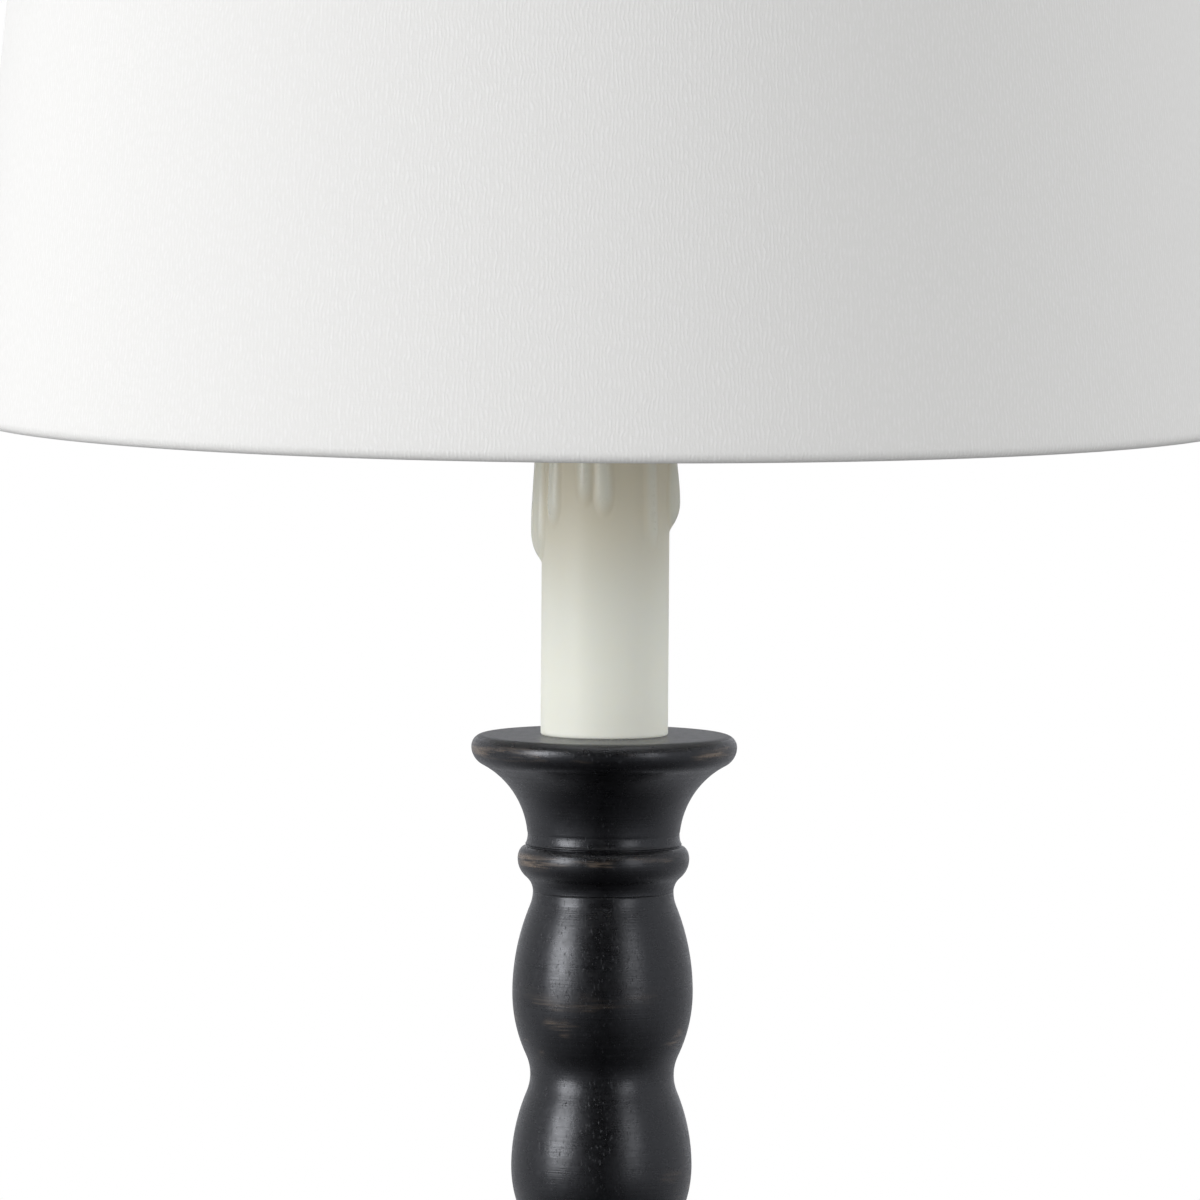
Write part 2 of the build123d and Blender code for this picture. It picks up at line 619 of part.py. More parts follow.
# Fabric cover, rolled inward round the wire at both rims
with BuildPart() as shade_cover:
    with BuildSketch(slope_plane):
        with BuildLine():
            low, high = wire_low[0], wire_high[0]
            back = 2 * hem_outside
            lip = back - FABRIC_THICKNESS
            Line((low, 0), (high, 0))
            CenterArc(wire_high, hem_outside, -90, 180)
            Polyline(
                (high, back), (high - HEM_TURN_IN, back), (high - HEM_TURN_IN, lip), (high, lip)
            )
            CenterArc(wire_high, hem_inside, -90, 180)
            Line((high, FABRIC_THICKNESS), (low, FABRIC_THICKNESS))
            CenterArc(wire_low, hem_inside, 90, 180)
            Polyline((low, lip), (low + HEM_TURN_IN, lip), (low + HEM_TURN_IN, back), (low, back))
            CenterArc(wire_low, hem_outside, 90, 180)
        make_face()
    revolve(axis=Axis.Z)
    with PolarLocations(0, SPIDER_ARM_COUNT, SPIDER_FIRST_BEARING):
        add(arm_slit.part, mode=Mode.SUBTRACT)

# Stiff liner, stuck to the inside of the fabric between the two wires
with BuildPart() as shade_liner:
    with BuildSketch(slope_plane):
        with Locations((slope / 2, FABRIC_THICKNESS + GLUE_GAP)):
            Rectangle(
                slope - 2 * (hem_outside + hem_inside + WIRE_ROOM),
                LINER_THICKNESS,
                align=(Align.CENTER, Align.MIN),
            )
    revolve(axis=Axis.Z)

# The two wire rings inside the hems
with BuildPart() as shade_bottom_ring:
    with BuildSketch(slope_plane):
        with Locations(wire_low):
            Circle(wire_radius)
    revolve(axis=Axis.Z)

with BuildPart() as shade_top_ring:
    with BuildSketch(slope_plane):
        with Locations(wire_high):
            Circle(wire_radius)
    revolve(axis=Axis.Z)

# Spider washer that sits on the disc of the stud, with three wire arms to the top ring
with BuildPart() as spider_washer:
    with BuildSketch(Plane.XY.offset(SHADE_SEAT)):
        Circle(SPIDER_WASHER_DIAMETER / 2)
        Circle(SPIDER_WASHER_HOLE / 2, mode=Mode.SUBTRACT)
    extrude(amount=SPIDER_WASHER)

washer_level = SHADE_SEAT + SPIDER_WASHER / 2
with BuildPart() as spider_arm:
    with BuildLine(Plane.XZ) as arm_line:
        FilletPolyline(
            (ring_point.X, ring_point.Z),
            (SPIDER_DROP_START, ring_point.Z),
            (SPIDER_DROP_END, washer_level),
            (SPIDER_WASHER_DIAMETER / 2, washer_level),
            radius=SPIDER_BEND_RADIUS,
        )
    with BuildSketch(ring_plane):
        Circle(SPIDER_ARM_WIRE / 2)
    sweep(path=arm_line.wires()[0])
    add(shade_top_ring.part, mode=Mode.SUBTRACT)

with BuildPart() as spider_arms:
    with PolarLocations(0, SPIDER_ARM_COUNT, SPIDER_FIRST_BEARING):
        add(spider_arm.part)

# Finial: a ball on a waisted foot, with a threaded brass insert
with BuildPart() as finial_knob:
    with BuildSketch(Plane.XZ):
        with BuildLine():
            foot = FINIAL_FOOT_DIAMETER / 2
            neck = FINIAL_NECK_DIAMETER / 2
            ball = FINIAL_BALL_DIAMETER / 2
            foot_top = FINIAL_SEAT + FINIAL_FOOT
            neck_top = foot_top + FINIAL_NECK_HEIGHT
            ball_middle = neck_top + (ball**2 - neck**2) ** 0.5
            below = degrees(atan((ball_middle - neck_top) / neck))
            CenterArc((0, ball_middle), ball, -below, 90 + below)
            waist = ThreePointArc(
                (neck, neck_top),
                (neck - FINIAL_NECK_HEIGHT / 6, foot_top + FINIAL_NECK_HEIGHT / 2),
                (neck, foot_top),
            )
            Line((neck, foot_top), (foot - FINIAL_FOOT / 2, foot_top))
            rim_arc = JernArc((foot - FINIAL_FOOT / 2, foot_top), (1, 0), FINIAL_FOOT / 2, -180)
            Polyline(rim_arc @ 1, (0, FINIAL_SEAT), (0, ball_middle + ball))
        make_face()
    revolve(axis=Axis.Z)
    with BuildSketch(Plane.XY.offset(FINIAL_SEAT)):
        Circle(INSERT_DIAMETER / 2 + GLUE_GAP)
    extrude(amount=INSERT_LENGTH + GLUE_GAP, mode=Mode.SUBTRACT)

with BuildPart() as finial_insert:
    with BuildSketch(Plane.XY.offset(FINIAL_SEAT)):
        Circle(INSERT_DIAMETER / 2)
    extrude(amount=INSERT_LENGTH)
    with BuildSketch(Plane.XY.offset(FINIAL_SEAT)):
        Circle(STUD_DIAMETER / 2 + SLIDE_FIT)
    extrude(amount=STUD_LENGTH - SPIDER_WASHER + LOOSE_FIT, mode=Mode.SUBTRACT)

# Socket cap: a hub on the pipe that opens into a cup for the shell
with BuildPart() as socket_cap:
    with BuildSketch(Plane.XZ):
        with BuildLine():
            hub = SOCKET_HUB_DIAMETER / 2
            outer = SOCKET_DIAMETER / 2
            inner = outer - SOCKET_WALL
            lift = SOCKET_WALL * 1.25
            Polyline(
                (PIPE_FIT_RADIUS, SADDLE_SEAT),
                (hub, SADDLE_SEAT),
                (hub, SADDLE_SEAT + SOCKET_HUB_HEIGHT),
                (outer, SADDLE_SEAT + SOCKET_CAP_SLOPE_TOP),
                (outer, SADDLE_SEAT + SOCKET_CAP_HEIGHT),
                (inner, SADDLE_SEAT + SOCKET_CAP_HEIGHT),
                (inner, SADDLE_SEAT + SOCKET_CAP_SLOPE_TOP + lift),
                (hub, SADDLE_SEAT + SOCKET_HUB_HEIGHT + lift),
                (PIPE_FIT_RADIUS, SADDLE_SEAT + SOCKET_HUB_HEIGHT + lift),
                close=True,
            )
        make_face()
    revolve(axis=Axis.Z)
    with Locations(
        Plane((0, SOCKET_HUB_DIAMETER / 2, SADDLE_SEAT + SOCKET_HUB_HEIGHT / 2), z_dir=(0, 1, 0))
    ):
        Hole(SET_SCREW_DIAMETER / 2 + GLUE_GAP, SOCKET_HUB_DIAMETER / 2 - PIPE_DIAMETER / 4)

# Grub screw that locks the cap on the pipe
with BuildPart() as set_screw:
    with BuildSketch(
        Plane((0, PIPE_FIT_RADIUS, SADDLE_SEAT + SOCKET_HUB_HEIGHT / 2), z_dir=(0, 1, 0))
    ):
        Circle(SET_SCREW_DIAMETER / 2)
    extrude(amount=SET_SCREW_LENGTH)
    slot_face = set_screw.faces().sort_by(Axis.Y)[-1]
    with BuildSketch(slot_face):
        Rectangle(SET_SCREW_DIAMETER * 2, SET_SCREW_DIAMETER / 4)
    extrude(amount=-SET_SCREW_DIAMETER / 3, mode=Mode.SUBTRACT)

# Socket shell: a thin brass tube with a bead that rests on the cap, open for the switch shaft
with BuildPart() as socket_shell:
    with BuildSketch(Plane.XZ):
        with BuildLine():
            inner = SHELL_RADIUS - SOCKET_WALL
            bead_foot = SADDLE_SEAT + SOCKET_CAP_HEIGHT
            bead_out = SOCKET_DIAMETER / 2 - SHELL_RADIUS
            lip = SADDLE_SEAT + SHELL_TOP
            Line((SHELL_RADIUS, SADDLE_SEAT + SHELL_FOOT), (SHELL_RADIUS, bead_foot))
            ThreePointArc(
                (SHELL_RADIUS, bead_foot),
                (SHELL_RADIUS + bead_out, bead_foot + SHELL_BEAD / 2),
                (SHELL_RADIUS, bead_foot + SHELL_BEAD),
            )
            Polyline(
                (SHELL_RADIUS, bead_foot + SHELL_BEAD),
                (SHELL_RADIUS, lip),
                (inner, lip),
                (inner, SADDLE_SEAT + SHELL_FOOT),
                (SHELL_RADIUS, SADDLE_SEAT + SHELL_FOOT),
            )
        make_face()
    revolve(axis=Axis.Z)
    with Locations(Plane((SHELL_RADIUS, 0, SADDLE_SEAT + KEY_HEIGHT), z_dir=(1, 0, 0))):
        Hole(KEY_HOLE_DIAMETER / 2, 2 * SOCKET_WALL)

# Fibre liner between the shell and the live parts
fibre_outside = SHELL_RADIUS - SOCKET_WALL - GLUE_GAP
with BuildPart() as socket_liner:
    with BuildSketch(Plane.XY.offset(SADDLE_SEAT + SHELL_FOOT)):
        Circle(fibre_outside)
        Circle(fibre_outside - FIBRE_THICKNESS, mode=Mode.SUBTRACT)
    extrude(amount=SHELL_TOP - SHELL_FOOT - SOCKET_WALL)
    with Locations(Plane((fibre_outside, 0, SADDLE_SEAT + KEY_HEIGHT), z_dir=(1, 0, 0))):
        Hole(KEY_HOLE_DIAMETER / 2, 2 * FIBRE_THICKNESS)

# Moulded socket body with the hole for the switch shaft and two flats for the terminals
with BuildPart() as socket_body:
    with BuildSketch(Plane.XY.offset(SADDLE_SEAT + BODY_FOOT)):
        Circle(BODY_DIAMETER / 2)
    extrude(amount=BODY_TOP - BODY_FOOT)
    with BuildSketch(Plane.XY.offset(SADDLE_SEAT + BODY_FOOT)):
        flat_depth = (BODY_DIAMETER - TERMINAL_FLAT) / 2
        with Locations((0, BODY_DIAMETER / 2), (0, -BODY_DIAMETER / 2)):
            Rectangle(TERMINAL_HEAD_DIAMETER * 1.5, 2 * flat_depth)
    extrude(amount=BODY_TOP - BODY_FOOT - SOCKET_WALL * 3, mode=Mode.SUBTRACT)
    with Locations(Plane((BODY_DIAMETER / 2, 0, SADDLE_SEAT + KEY_HEIGHT), z_dir=(1, 0, 0))):
        Hole(KEY_SHAFT_DIAMETER / 2 + SLIDE_FIT, BODY_DIAMETER / 2 - KEY_SHAFT_START + SLIDE_FIT)
    for way in (1, -1):
        with Locations(
            Plane((0, way * TERMINAL_FLAT / 2, SADDLE_SEAT + TERMINAL_HEIGHT), z_dir=(0, way, 0))
        ):
            Hole(TERMINAL_SHANK_DIAMETER / 2 + GLUE_GAP, TERMINAL_SHANK + GLUE_GAP)

# Two slotted terminal screws
with BuildPart() as terminal_screws:
    for way in (1, -1):
        seat = Plane((0, way * TERMINAL_FLAT / 2, SADDLE_SEAT + TERMINAL_HEIGHT), z_dir=(0, way, 0))
        with BuildSketch(seat):
            Circle(TERMINAL_HEAD_DIAMETER / 2)
        extrude(amount=TERMINAL_HEAD)
        with BuildSketch(seat):
            Circle(TERMINAL_SHANK_DIAMETER / 2)
        extrude(amount=-TERMINAL_SHANK)
        with BuildSketch(seat.offset(TERMINAL_HEAD)):
            Rectangle(TERMINAL_HEAD_DIAMETER * 2, TERMINAL_HEAD_DIAMETER / 7)
        extrude(amount=-TERMINAL_HEAD / 3, mode=Mode.SUBTRACT)

# Screw shell that takes the bulb, with a hole in its floor for the contact
screw_radius = BODY_DIAMETER / 2
with BuildPart() as screw_shell:
    with BuildSketch(Plane.XY.offset(SADDLE_SEAT + BODY_TOP)):
        Circle(screw_radius)
    extrude(amount=SHELL_TOP - BODY_TOP)
    with Locations((0, 0, SADDLE_SEAT + SHELL_TOP)):
        Hole(screw_radius - SCREW_SHELL_WALL, SHELL_TOP - BODY_TOP - SCREW_SHELL_WALL)
    with Locations((0, 0, SADDLE_SEAT + SHELL_TOP)):
        Hole(SCREW_SHELL_FLOOR_HOLE / 2, SHELL_TOP - BODY_TOP)

# Sprung centre contact: a strip folded back over itself
with BuildPart() as centre_contact:
    with BuildSketch(Plane.XZ):
        with BuildLine():
            floor = SADDLE_SEAT + BODY_TOP
            half = CONTACT_LENGTH / 2
            outline = FilletPolyline(
                (-half, floor),
                (half, floor),
                (half, floor + CONTACT_RISE),
                (-half / 2, floor + CONTACT_RISE),
                radius=CONTACT_RISE / 2.2,
            )
            inline = FilletPolyline(
                (-half, floor + CONTACT_STRIP),
                (half - CONTACT_STRIP, floor + CONTACT_STRIP),
                (half - CONTACT_STRIP, floor + CONTACT_RISE - CONTACT_STRIP),
                (-half / 2, floor + CONTACT_RISE - CONTACT_STRIP),
                radius=CONTACT_RISE / 2.2 - CONTACT_STRIP,
            )
            Line(outline @ 0, inline @ 0)
            Line(outline @ 1, inline @ 1)
        make_face()
    extrude(amount=CONTACT_WIDTH / 2, both=True)

# Switch shaft and its fluted key, turned together
with BuildPart() as switch_shaft:
    with BuildSketch(Plane((KEY_SHAFT_START, 0, SADDLE_SEAT + KEY_HEIGHT), z_dir=(1, 0, 0))):
        Circle(KEY_SHAFT_DIAMETER / 2)
    extrude(amount=KNOB_START + KNOB_SOCKET - KEY_SHAFT_START)

with BuildPart() as switch_key:
    key_plane = Plane((KNOB_START, 0, SADDLE_SEAT + KEY_HEIGHT), z_dir=(1, 0, 0))
    with BuildSketch(key_plane):
        Circle(KNOB_DIAMETER / 2)
        with PolarLocations(KNOB_DIAMETER / 2, KNOB_FLUTES):
            Circle(KNOB_FLUTE_DIAMETER / 2, mode=Mode.SUBTRACT)
    extrude(amount=KNOB_LENGTH)
    with BuildSketch(key_plane):
        Circle(KEY_SHAFT_DIAMETER / 2 + GLUE_GAP)
    extrude(amount=KNOB_SOCKET + GLUE_GAP, mode=Mode.SUBTRACT)
    fillet(switch_key.faces().sort_by(Axis.X)[-1].edges(), KNOB_FLUTE_DIAMETER / 4)

# Bulb: a frosted glass globe, a screw cap, its black insulator and the contact below
bulb_foot = SADDLE_SEAT + BODY_TOP + CONTACT_RISE + BULB_SEAT_GAP
globe_middle = bulb_foot + BULB_LENGTH - BULB_DIAMETER / 2
neck_end = bulb_foot + BULB_CAP_TOP - BULB_NECK_IN_CAP
with BuildPart() as bulb_glass:
    for inset, mode in ((0, Mode.ADD), (BULB_GLASS_WALL, Mode.SUBTRACT)):
        with BuildSketch(Plane.XZ):
            with BuildLine():
                globe = BULB_DIAMETER / 2 - inset
                neck = BULB_NECK_DIAMETER / 2 - inset
                CenterArc((0, globe_middle), globe, 0, 90)
                neck_top = ogee(
                    (globe, globe_middle),
                    globe_middle - bulb_foot - BULB_NECK_TOP,
                    neck - globe,
                    BULB_SHOULDER_RADIUS - inset,
                )
                Polyline(neck_top, (neck, neck_end), (0, neck_end), (0, globe_middle + globe))
            make_face()
        revolve(axis=Axis.Z, mode=mode)

with BuildPart() as bulb_cap:
    with BuildSketch(Plane.XY.offset(bulb_foot + BULB_CAP_FOOT)):
        Circle(BULB_CAP_DIAMETER / 2)
        Circle(BULB_CAP_DIAMETER / 2 - BULB_CAP_WALL, mode=Mode.SUBTRACT)
    extrude(amount=BULB_CAP_TOP - BULB_CAP_FOOT)

with BuildPart() as bulb_insulator:
    with BuildSketch(Plane.XZ):
        with BuildLine():
            Polyline(
                (0, bulb_foot + BULB_CONTACT),
                (BULB_CONTACT_DIAMETER / 2, bulb_foot + BULB_CONTACT),
                (BULB_CAP_DIAMETER / 2 - BULB_CAP_WALL, bulb_foot + BULB_CAP_FOOT),
                (0, bulb_foot + BULB_CAP_FOOT),
                close=True,
            )
        make_face()
    revolve(axis=Axis.Z)

with BuildPart() as bulb_contact:
    with BuildSketch(Plane.XY.offset(bulb_foot)):
        Circle(BULB_CONTACT_DIAMETER / 2)
    extrude(amount=BULB_CONTACT)
    fillet(bulb_contact.faces().sort_by(Axis.Z)[0].edges(), BULB_CONTACT / 2)

PIECES = {
    "felt_pad": felt_pad,
    "plinth": plinth,
    "base_weight": base_weight,
    "base_washer": base_washer,
    "base_nut": base_nut,
    "cord_bushing": cord_bushing,
    "pedestal": pedestal,
    "spindle": spindle,
    "candle_cup": candle_cup,
    "lamp_pipe": lamp_pipe,
    "cup_washer": cup_washer,
    "cup_nut": cup_nut,
    "candle_sleeve": candle_sleeve,
    "sleeve_cap": sleeve_cap,
    "harp_saddle": harp_saddle,
    "harp_bow": harp_bow,
    "ferrule_rear": ferrule_rear,
    "ferrule_front": ferrule_front,
    "harp_stud": harp_stud,
    "shade_cover": shade_cover,
    "shade_liner": shade_liner,
    "shade_bottom_ring": shade_bottom_ring,
    "shade_top_ring": shade_top_ring,
    "spider_washer": spider_washer,
    "spider_arms": spider_arms,
    "finial_knob": finial_knob,
    "finial_insert": finial_insert,
    "socket_cap": socket_cap,
    "set_screw": set_screw,
    "socket_shell": socket_shell,
    "socket_liner": socket_liner,
    "socket_body": socket_body,
    "terminal_screws": terminal_screws,
    "screw_shell": screw_shell,
    "centre_contact": centre_contact,
    "switch_shaft": switch_shaft,
    "switch_key": switch_key,
    "bulb_glass": bulb_glass,
    "bulb_cap": bulb_cap,
    "bulb_insulator": bulb_insulator,
    "bulb_contact": bulb_contact,
}

for name, piece in PIECES.items():
    piece.part.label = name
    export_step(piece.part, f"parts/{name}.step")
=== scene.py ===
from math import radians

import bmesh
import bpy
import numpy as np
from mathutils import Matrix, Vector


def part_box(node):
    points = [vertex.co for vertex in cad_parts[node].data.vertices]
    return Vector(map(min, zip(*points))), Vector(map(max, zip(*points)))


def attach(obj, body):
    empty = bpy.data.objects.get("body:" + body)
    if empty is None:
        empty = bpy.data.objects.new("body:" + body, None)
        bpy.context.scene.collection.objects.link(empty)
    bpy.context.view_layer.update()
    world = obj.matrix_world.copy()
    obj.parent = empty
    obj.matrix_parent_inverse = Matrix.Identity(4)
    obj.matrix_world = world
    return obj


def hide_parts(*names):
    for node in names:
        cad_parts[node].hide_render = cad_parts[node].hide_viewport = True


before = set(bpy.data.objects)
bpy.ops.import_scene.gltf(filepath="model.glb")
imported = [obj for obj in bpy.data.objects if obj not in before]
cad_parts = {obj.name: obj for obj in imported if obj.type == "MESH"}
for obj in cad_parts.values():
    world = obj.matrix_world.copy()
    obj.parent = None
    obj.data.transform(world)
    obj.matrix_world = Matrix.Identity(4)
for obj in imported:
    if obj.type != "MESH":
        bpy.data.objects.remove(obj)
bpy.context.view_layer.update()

# Felt pad. A disc cut from black pressed wool felt and glued under the plinth, so that the lamp
# slides on a table without a scratch. Its cut edge is a little ragged and fuzzy.
felt_radius = 0.0728
felt_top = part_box("felt_pad")[1].z
felt_round = 0.0003
ragged_band = 0.0018


def skin(name, points, u, v, ring=False, tube=True):
    """Join a grid of points into quads. The last column joins the first in a tube, and the last row
    joins the first in a ring. u and v, one value longer than the grid where it closes, give the UV
    map in metres. The faces are turned so that the volume inside, the sum of a . (b x c) over
    them, is above zero."""
    rows, columns = points.shape[:2]
    i, j = np.meshgrid(
        np.arange(rows if ring else rows - 1), np.arange(columns if tube else columns - 1),
        indexing="ij",
    )
    below, beside = (i + 1) % rows, (j + 1) % columns
    quads = np.stack(
        [i * columns + j, i * columns + beside, below * columns + beside, below * columns + j], -1
    ).reshape(-1, 4)
    across = np.stack([u[j], u[j + 1], u[j + 1], u[j]], -1).reshape(-1, 4)
    along = np.stack([v[i], v[i], v[i + 1], v[i + 1]], -1).reshape(-1, 4)
    flat = points.reshape(-1, 3)
    a, b, c, d = (flat[quads[:, k]] for k in range(4))
    volume = np.sum(a * np.cross(b, c)) + np.sum(a * np.cross(c, d))
    if volume < 0:
        quads, across, along = quads[:, ::-1], across[:, ::-1], along[:, ::-1]
    mesh = bpy.data.meshes.new(name)
    mesh.from_pydata(flat.tolist(), [], quads.tolist())
    layer = mesh.uv_layers.new(name="UVMap")
    layer.data.foreach_set("uv", np.stack([across, along], -1).astype(np.float32).ravel())
    mesh.polygons.foreach_set("use_smooth", np.ones(len(quads), bool))
    piece = bpy.data.objects.new(name, mesh)
    bpy.context.scene.collection.objects.link(piece)
    return piece


def weld(piece):
    """Merge points that lie on the axis, so that a pole is one point with triangles round it."""
    work = bmesh.new()
    work.from_mesh(piece.data)
    bmesh.ops.remove_doubles(work, verts=work.verts, dist=1e-7)
    work.to_mesh(piece.data)
    work.free()


def spots_of(piece):
    """The points of a piece, one in each row."""
    flat = np.empty(len(piece.data.vertices) * 3)
    piece.data.vertices.foreach_get("co", flat)
    return flat.reshape(-1, 3)


def around(radius, angle, height):
    """Points on circles round the upright axis: at angle a, (radius times cos a, radius times
    sin a, height)."""
    level = height + 0 * radius * angle
    return np.stack([radius * np.cos(angle), radius * np.sin(angle), level], -1)


def lengths(line):
    """How far along a line each of its points lies: the sum of the steps before it."""
    return np.concatenate([[0], np.cumsum(np.hypot(*np.diff(line, axis=0).T))])


def turned(name, profile, columns, ring=True):
    """Carry a profile, a radius and a height in each row, round the upright axis."""
    angle = np.linspace(0, 2 * np.pi, columns + 1)
    points = around(profile[:, :1], angle[:-1], profile[:, 1:])
    along = lengths(np.concatenate([profile, profile[:1]]))
    return skin(name, points, angle * profile[:, 0].max(), along, ring)


def softened(line, step, soft):
    """Measure a profile out again in equal steps, then average it with a bell of width soft, which
    rounds its corners the way paint and rubbing do. Its two ends stay where they are."""
    length = lengths(line)
    places = np.linspace(0, length[-1], int(length[-1] / step) + 1)
    even = np.stack([np.interp(places, length, line[:, k]) for k in (0, 1)], -1)
    reach = int(np.ceil(4 * soft / step))
    bell = np.exp(-0.5 * (np.arange(-reach, reach + 1) * step / soft) ** 2)
    wide = np.pad(even, ((reach, reach), (0, 0)), mode="reflect", reflect_type="odd")
    return np.stack([np.convolve(wide[:, k], bell / bell.sum(), "valid") for k in (0, 1)], -1)


def feed(tree, socket, value):
    """Link a socket to another node's output, or set it to a value."""
    if isinstance(value, bpy.types.NodeSocket):
        tree.links.new(value, socket)
    else:
        socket.default_value = value


def adder(tree):
    """A function that adds a node to a tree, sets it up, and fills or links its inputs."""

    def add(kind, inputs=(), **settings):
        node = tree.nodes.new("ShaderNode" + kind)
        for key, value in settings.items():
            setattr(node, key, value)
        for key, value in dict(inputs).items():
            feed(tree, node.inputs[key], value)
        return node

    return add


def new_finish(name):
    """A material, a function that adds a node to it and one that fills an input of its shader."""
    material = bpy.data.materials.new(name)
    material.use_nodes = True
    tree = material.node_tree

    def put(socket, value):
        feed(tree, tree.nodes["Principled BSDF"].inputs[socket], value)

    return material, adder(tree), put


def grain(add, scale, detail=2.0, rough=0.5, coords="Object"):
    """Noise on stretched coordinates: scale is in cycles per metre along x, y and z."""
    place = add("Mapping", {"Vector": add("TexCoord").outputs[coords], "Scale": scale})
    return add(
        "TexNoise", {"Vector": place.outputs[0], "Scale": 1, "Detail": detail, "Roughness": rough}
    ).outputs["Fac"]


def spread(add, value, low, high, to_low=0.0, to_high=1.0, smooth=True):
    """Stretch the part of a pattern between low and high over the values to_low to to_high."""
    return add(
        "MapRange",
        {"Value": value, "From Min": low, "From Max": high, "To Min": to_low, "To Max": to_high},
        interpolation_type="SMOOTHSTEP" if smooth else "LINEAR",
    ).outputs[0]


def blended(add, share, first, second):
    """Mix two colours by a pattern."""
    return add(
        "Mix", {"Factor": share, "A": first, "B": second}, data_type="RGBA"
    ).outputs["Result"]


def calc(add, operation, first, second):
    """Add, multiply or compare two values."""
    return add("Math", {0: first, 1: second}, operation=operation).outputs[0]


def bumped(add, height, depth, below=None):
    """A bump from a pattern, depth in metres, on top of another bump if there is one."""
    inputs = {"Height": height, "Distance": depth, "Strength": 1.0}
    if below is not None:
        inputs["Normal"] = below
    return add("Bump", inputs).outputs[0]


felt_line = softened(
    np.array([
        (0.0, 0.0), (felt_radius - felt_round, 0.0), (felt_radius, felt_round),
        (felt_radius, felt_top), (0.0, felt_top),
    ]),
    step=0.00045, soft=0.0004,
)
felt_disc = turned("felt_disc", felt_line, columns=256, ring=False)
spots = spots_of(felt_disc)
bearing = np.arctan2(spots[:, 1], spots[:, 0])
ragged = 0.00012 * np.sin(37 * bearing) + 0.0001 * np.sin(83 * bearing + 1) * np.sin(11 * bearing)
from_edge = felt_radius - np.hypot(spots[:, 0], spots[:, 1])
at_edge = np.clip(1 - from_edge / ragged_band, 0, 1)
spots[:, :2] *= (1 + ragged * at_edge / felt_radius)[:, None]
felt_disc.data.vertices.foreach_set("co", spots.ravel())
weld(felt_disc)
black_felt, add, put = new_finish("black_felt")
fibres = grain(add, (1500, 1500, 1500), 6, 0.7)
clumps = grain(add, (180, 180, 180), 3)
put("Base Color", blended(add, calc(add, "MULTIPLY", fibres, clumps), (0.004, 0.004, 0.0042, 1),
                          (0.03, 0.03, 0.031, 1)))
put("Roughness", 0.97)
put("Specular IOR Level", 0.12)
put("Sheen Weight", 0.35)
put("Normal", bumped(add, fibres, 0.0005))
felt_disc.data.materials.append(black_felt)
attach(felt_disc, "lamp")
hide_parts("felt_pad")

# Plinth. A stepped disc turned from close-grained hardwood, sealed, painted black and rubbed back,
# so that fine lathe lines, open pores and a little brown wood on the crests show in a satin skin.
plinth_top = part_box("plinth")[1].z
plinth_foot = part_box("plinth")[0].z
plinth_edge = 0.076
plinth_step = 0.058
plinth_ledge = 0.061
step_round = 0.004
shoulder_foot = plinth_foot + 0.014
shoulder_high = 0.010
foot_round = 0.0015
hollow_radius = 0.0575
hollow_top = plinth_foot + 0.017
pedestal_tenon = 0.02
back_face = 0.07
bushing_height = 0.0095
bushing_hole = 0.0043
bushing_depth = 0.0185


def quarter(middle, wide, high, start, end, steps=24):
    """A piece of an ellipse about a middle, from one angle in degrees to another."""
    angle = np.radians(np.linspace(start, end, steps))
    return np.stack([middle[0] + wide * np.cos(angle), middle[1] + high * np.sin(angle)], -1)


def crests(profile, reach, depth):
    """How near each step of a profile is to the fullest place within reach of it along the
    profile: one on the crest, falling off as a bell of that depth."""
    step = np.hypot(*(profile[1] - profile[0]))
    half = int(reach / step)
    wide = np.pad(profile[:, 0], half, mode="edge")
    fullest = np.lib.stride_tricks.sliding_window_view(wide, 2 * half + 1).max(-1)
    return np.exp(-(((fullest - profile[:, 0]) / depth) ** 2))


def mark(piece, name, values):
    """Keep one number for each point of a piece as an attribute that its finish can read."""
    piece.data.attributes.new(name, "FLOAT", "POINT").data.foreach_set(
        "value", np.ascontiguousarray(values, np.float32).ravel()
    )


def wooden(name, outline, inside, columns, reach, depth, lower=0):
    """Turn a wooden piece from its soft outline and its plain hidden inside, and mark on it where
    hands and rubbing wear the paint, that many steps below each crest."""
    piece = turned(name, np.concatenate([outline, inside]), columns)
    wear = np.concatenate([np.roll(crests(outline, reach, depth), lower), np.zeros(len(inside))])
    mark(piece, "wear", np.repeat(wear, columns))
    piece.data.materials.append(black_wood)
    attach(piece, "lamp")
    return piece


black_wood, add, put = new_finish("black_wood")
wear = add("Attribute", attribute_name="wear").outputs["Fac"]
dull = add("Attribute", attribute_name="dull").outputs["Fac"]
lathe_lines = grain(add, (16, 16, 1900), 4, 0.75)
lathe_bands = grain(add, (14, 14, 420), 3, 0.6)
mottle = grain(add, (420, 420, 300), 4, 0.65)
pores = spread(add, grain(add, (1900, 1900, 520), 2, 0.6), 0.625, 0.715)
rubbing = spread(add, grain(add, (60, 60, 1000), 5, 0.7), 0.4, 0.63)
patches = spread(add, grain(add, (32, 32, 90), 3, 0.6), 0.48, 0.62)
rubbed = calc(add, "MULTIPLY", calc(add, "MULTIPLY", wear, patches), rubbing)
paint = blended(add, lathe_bands, (0.0006, 0.0006, 0.0009, 1), (0.0022, 0.0021, 0.0024, 1))
worn = blended(add, rubbed, paint, (0.15, 0.114, 0.083, 1))
put("Base Color", blended(add, pores, worn, (0.0008, 0.0008, 0.0008, 1)))
shine = spread(add, lathe_lines, 0.3, 0.7, 0.18, 0.3, False)
shine = calc(add, "ADD", shine, spread(add, mottle, 0.3, 0.7, 0.0, 0.13, False))
shine = calc(add, "ADD", shine, calc(add, "MULTIPLY", pores, 0.25))
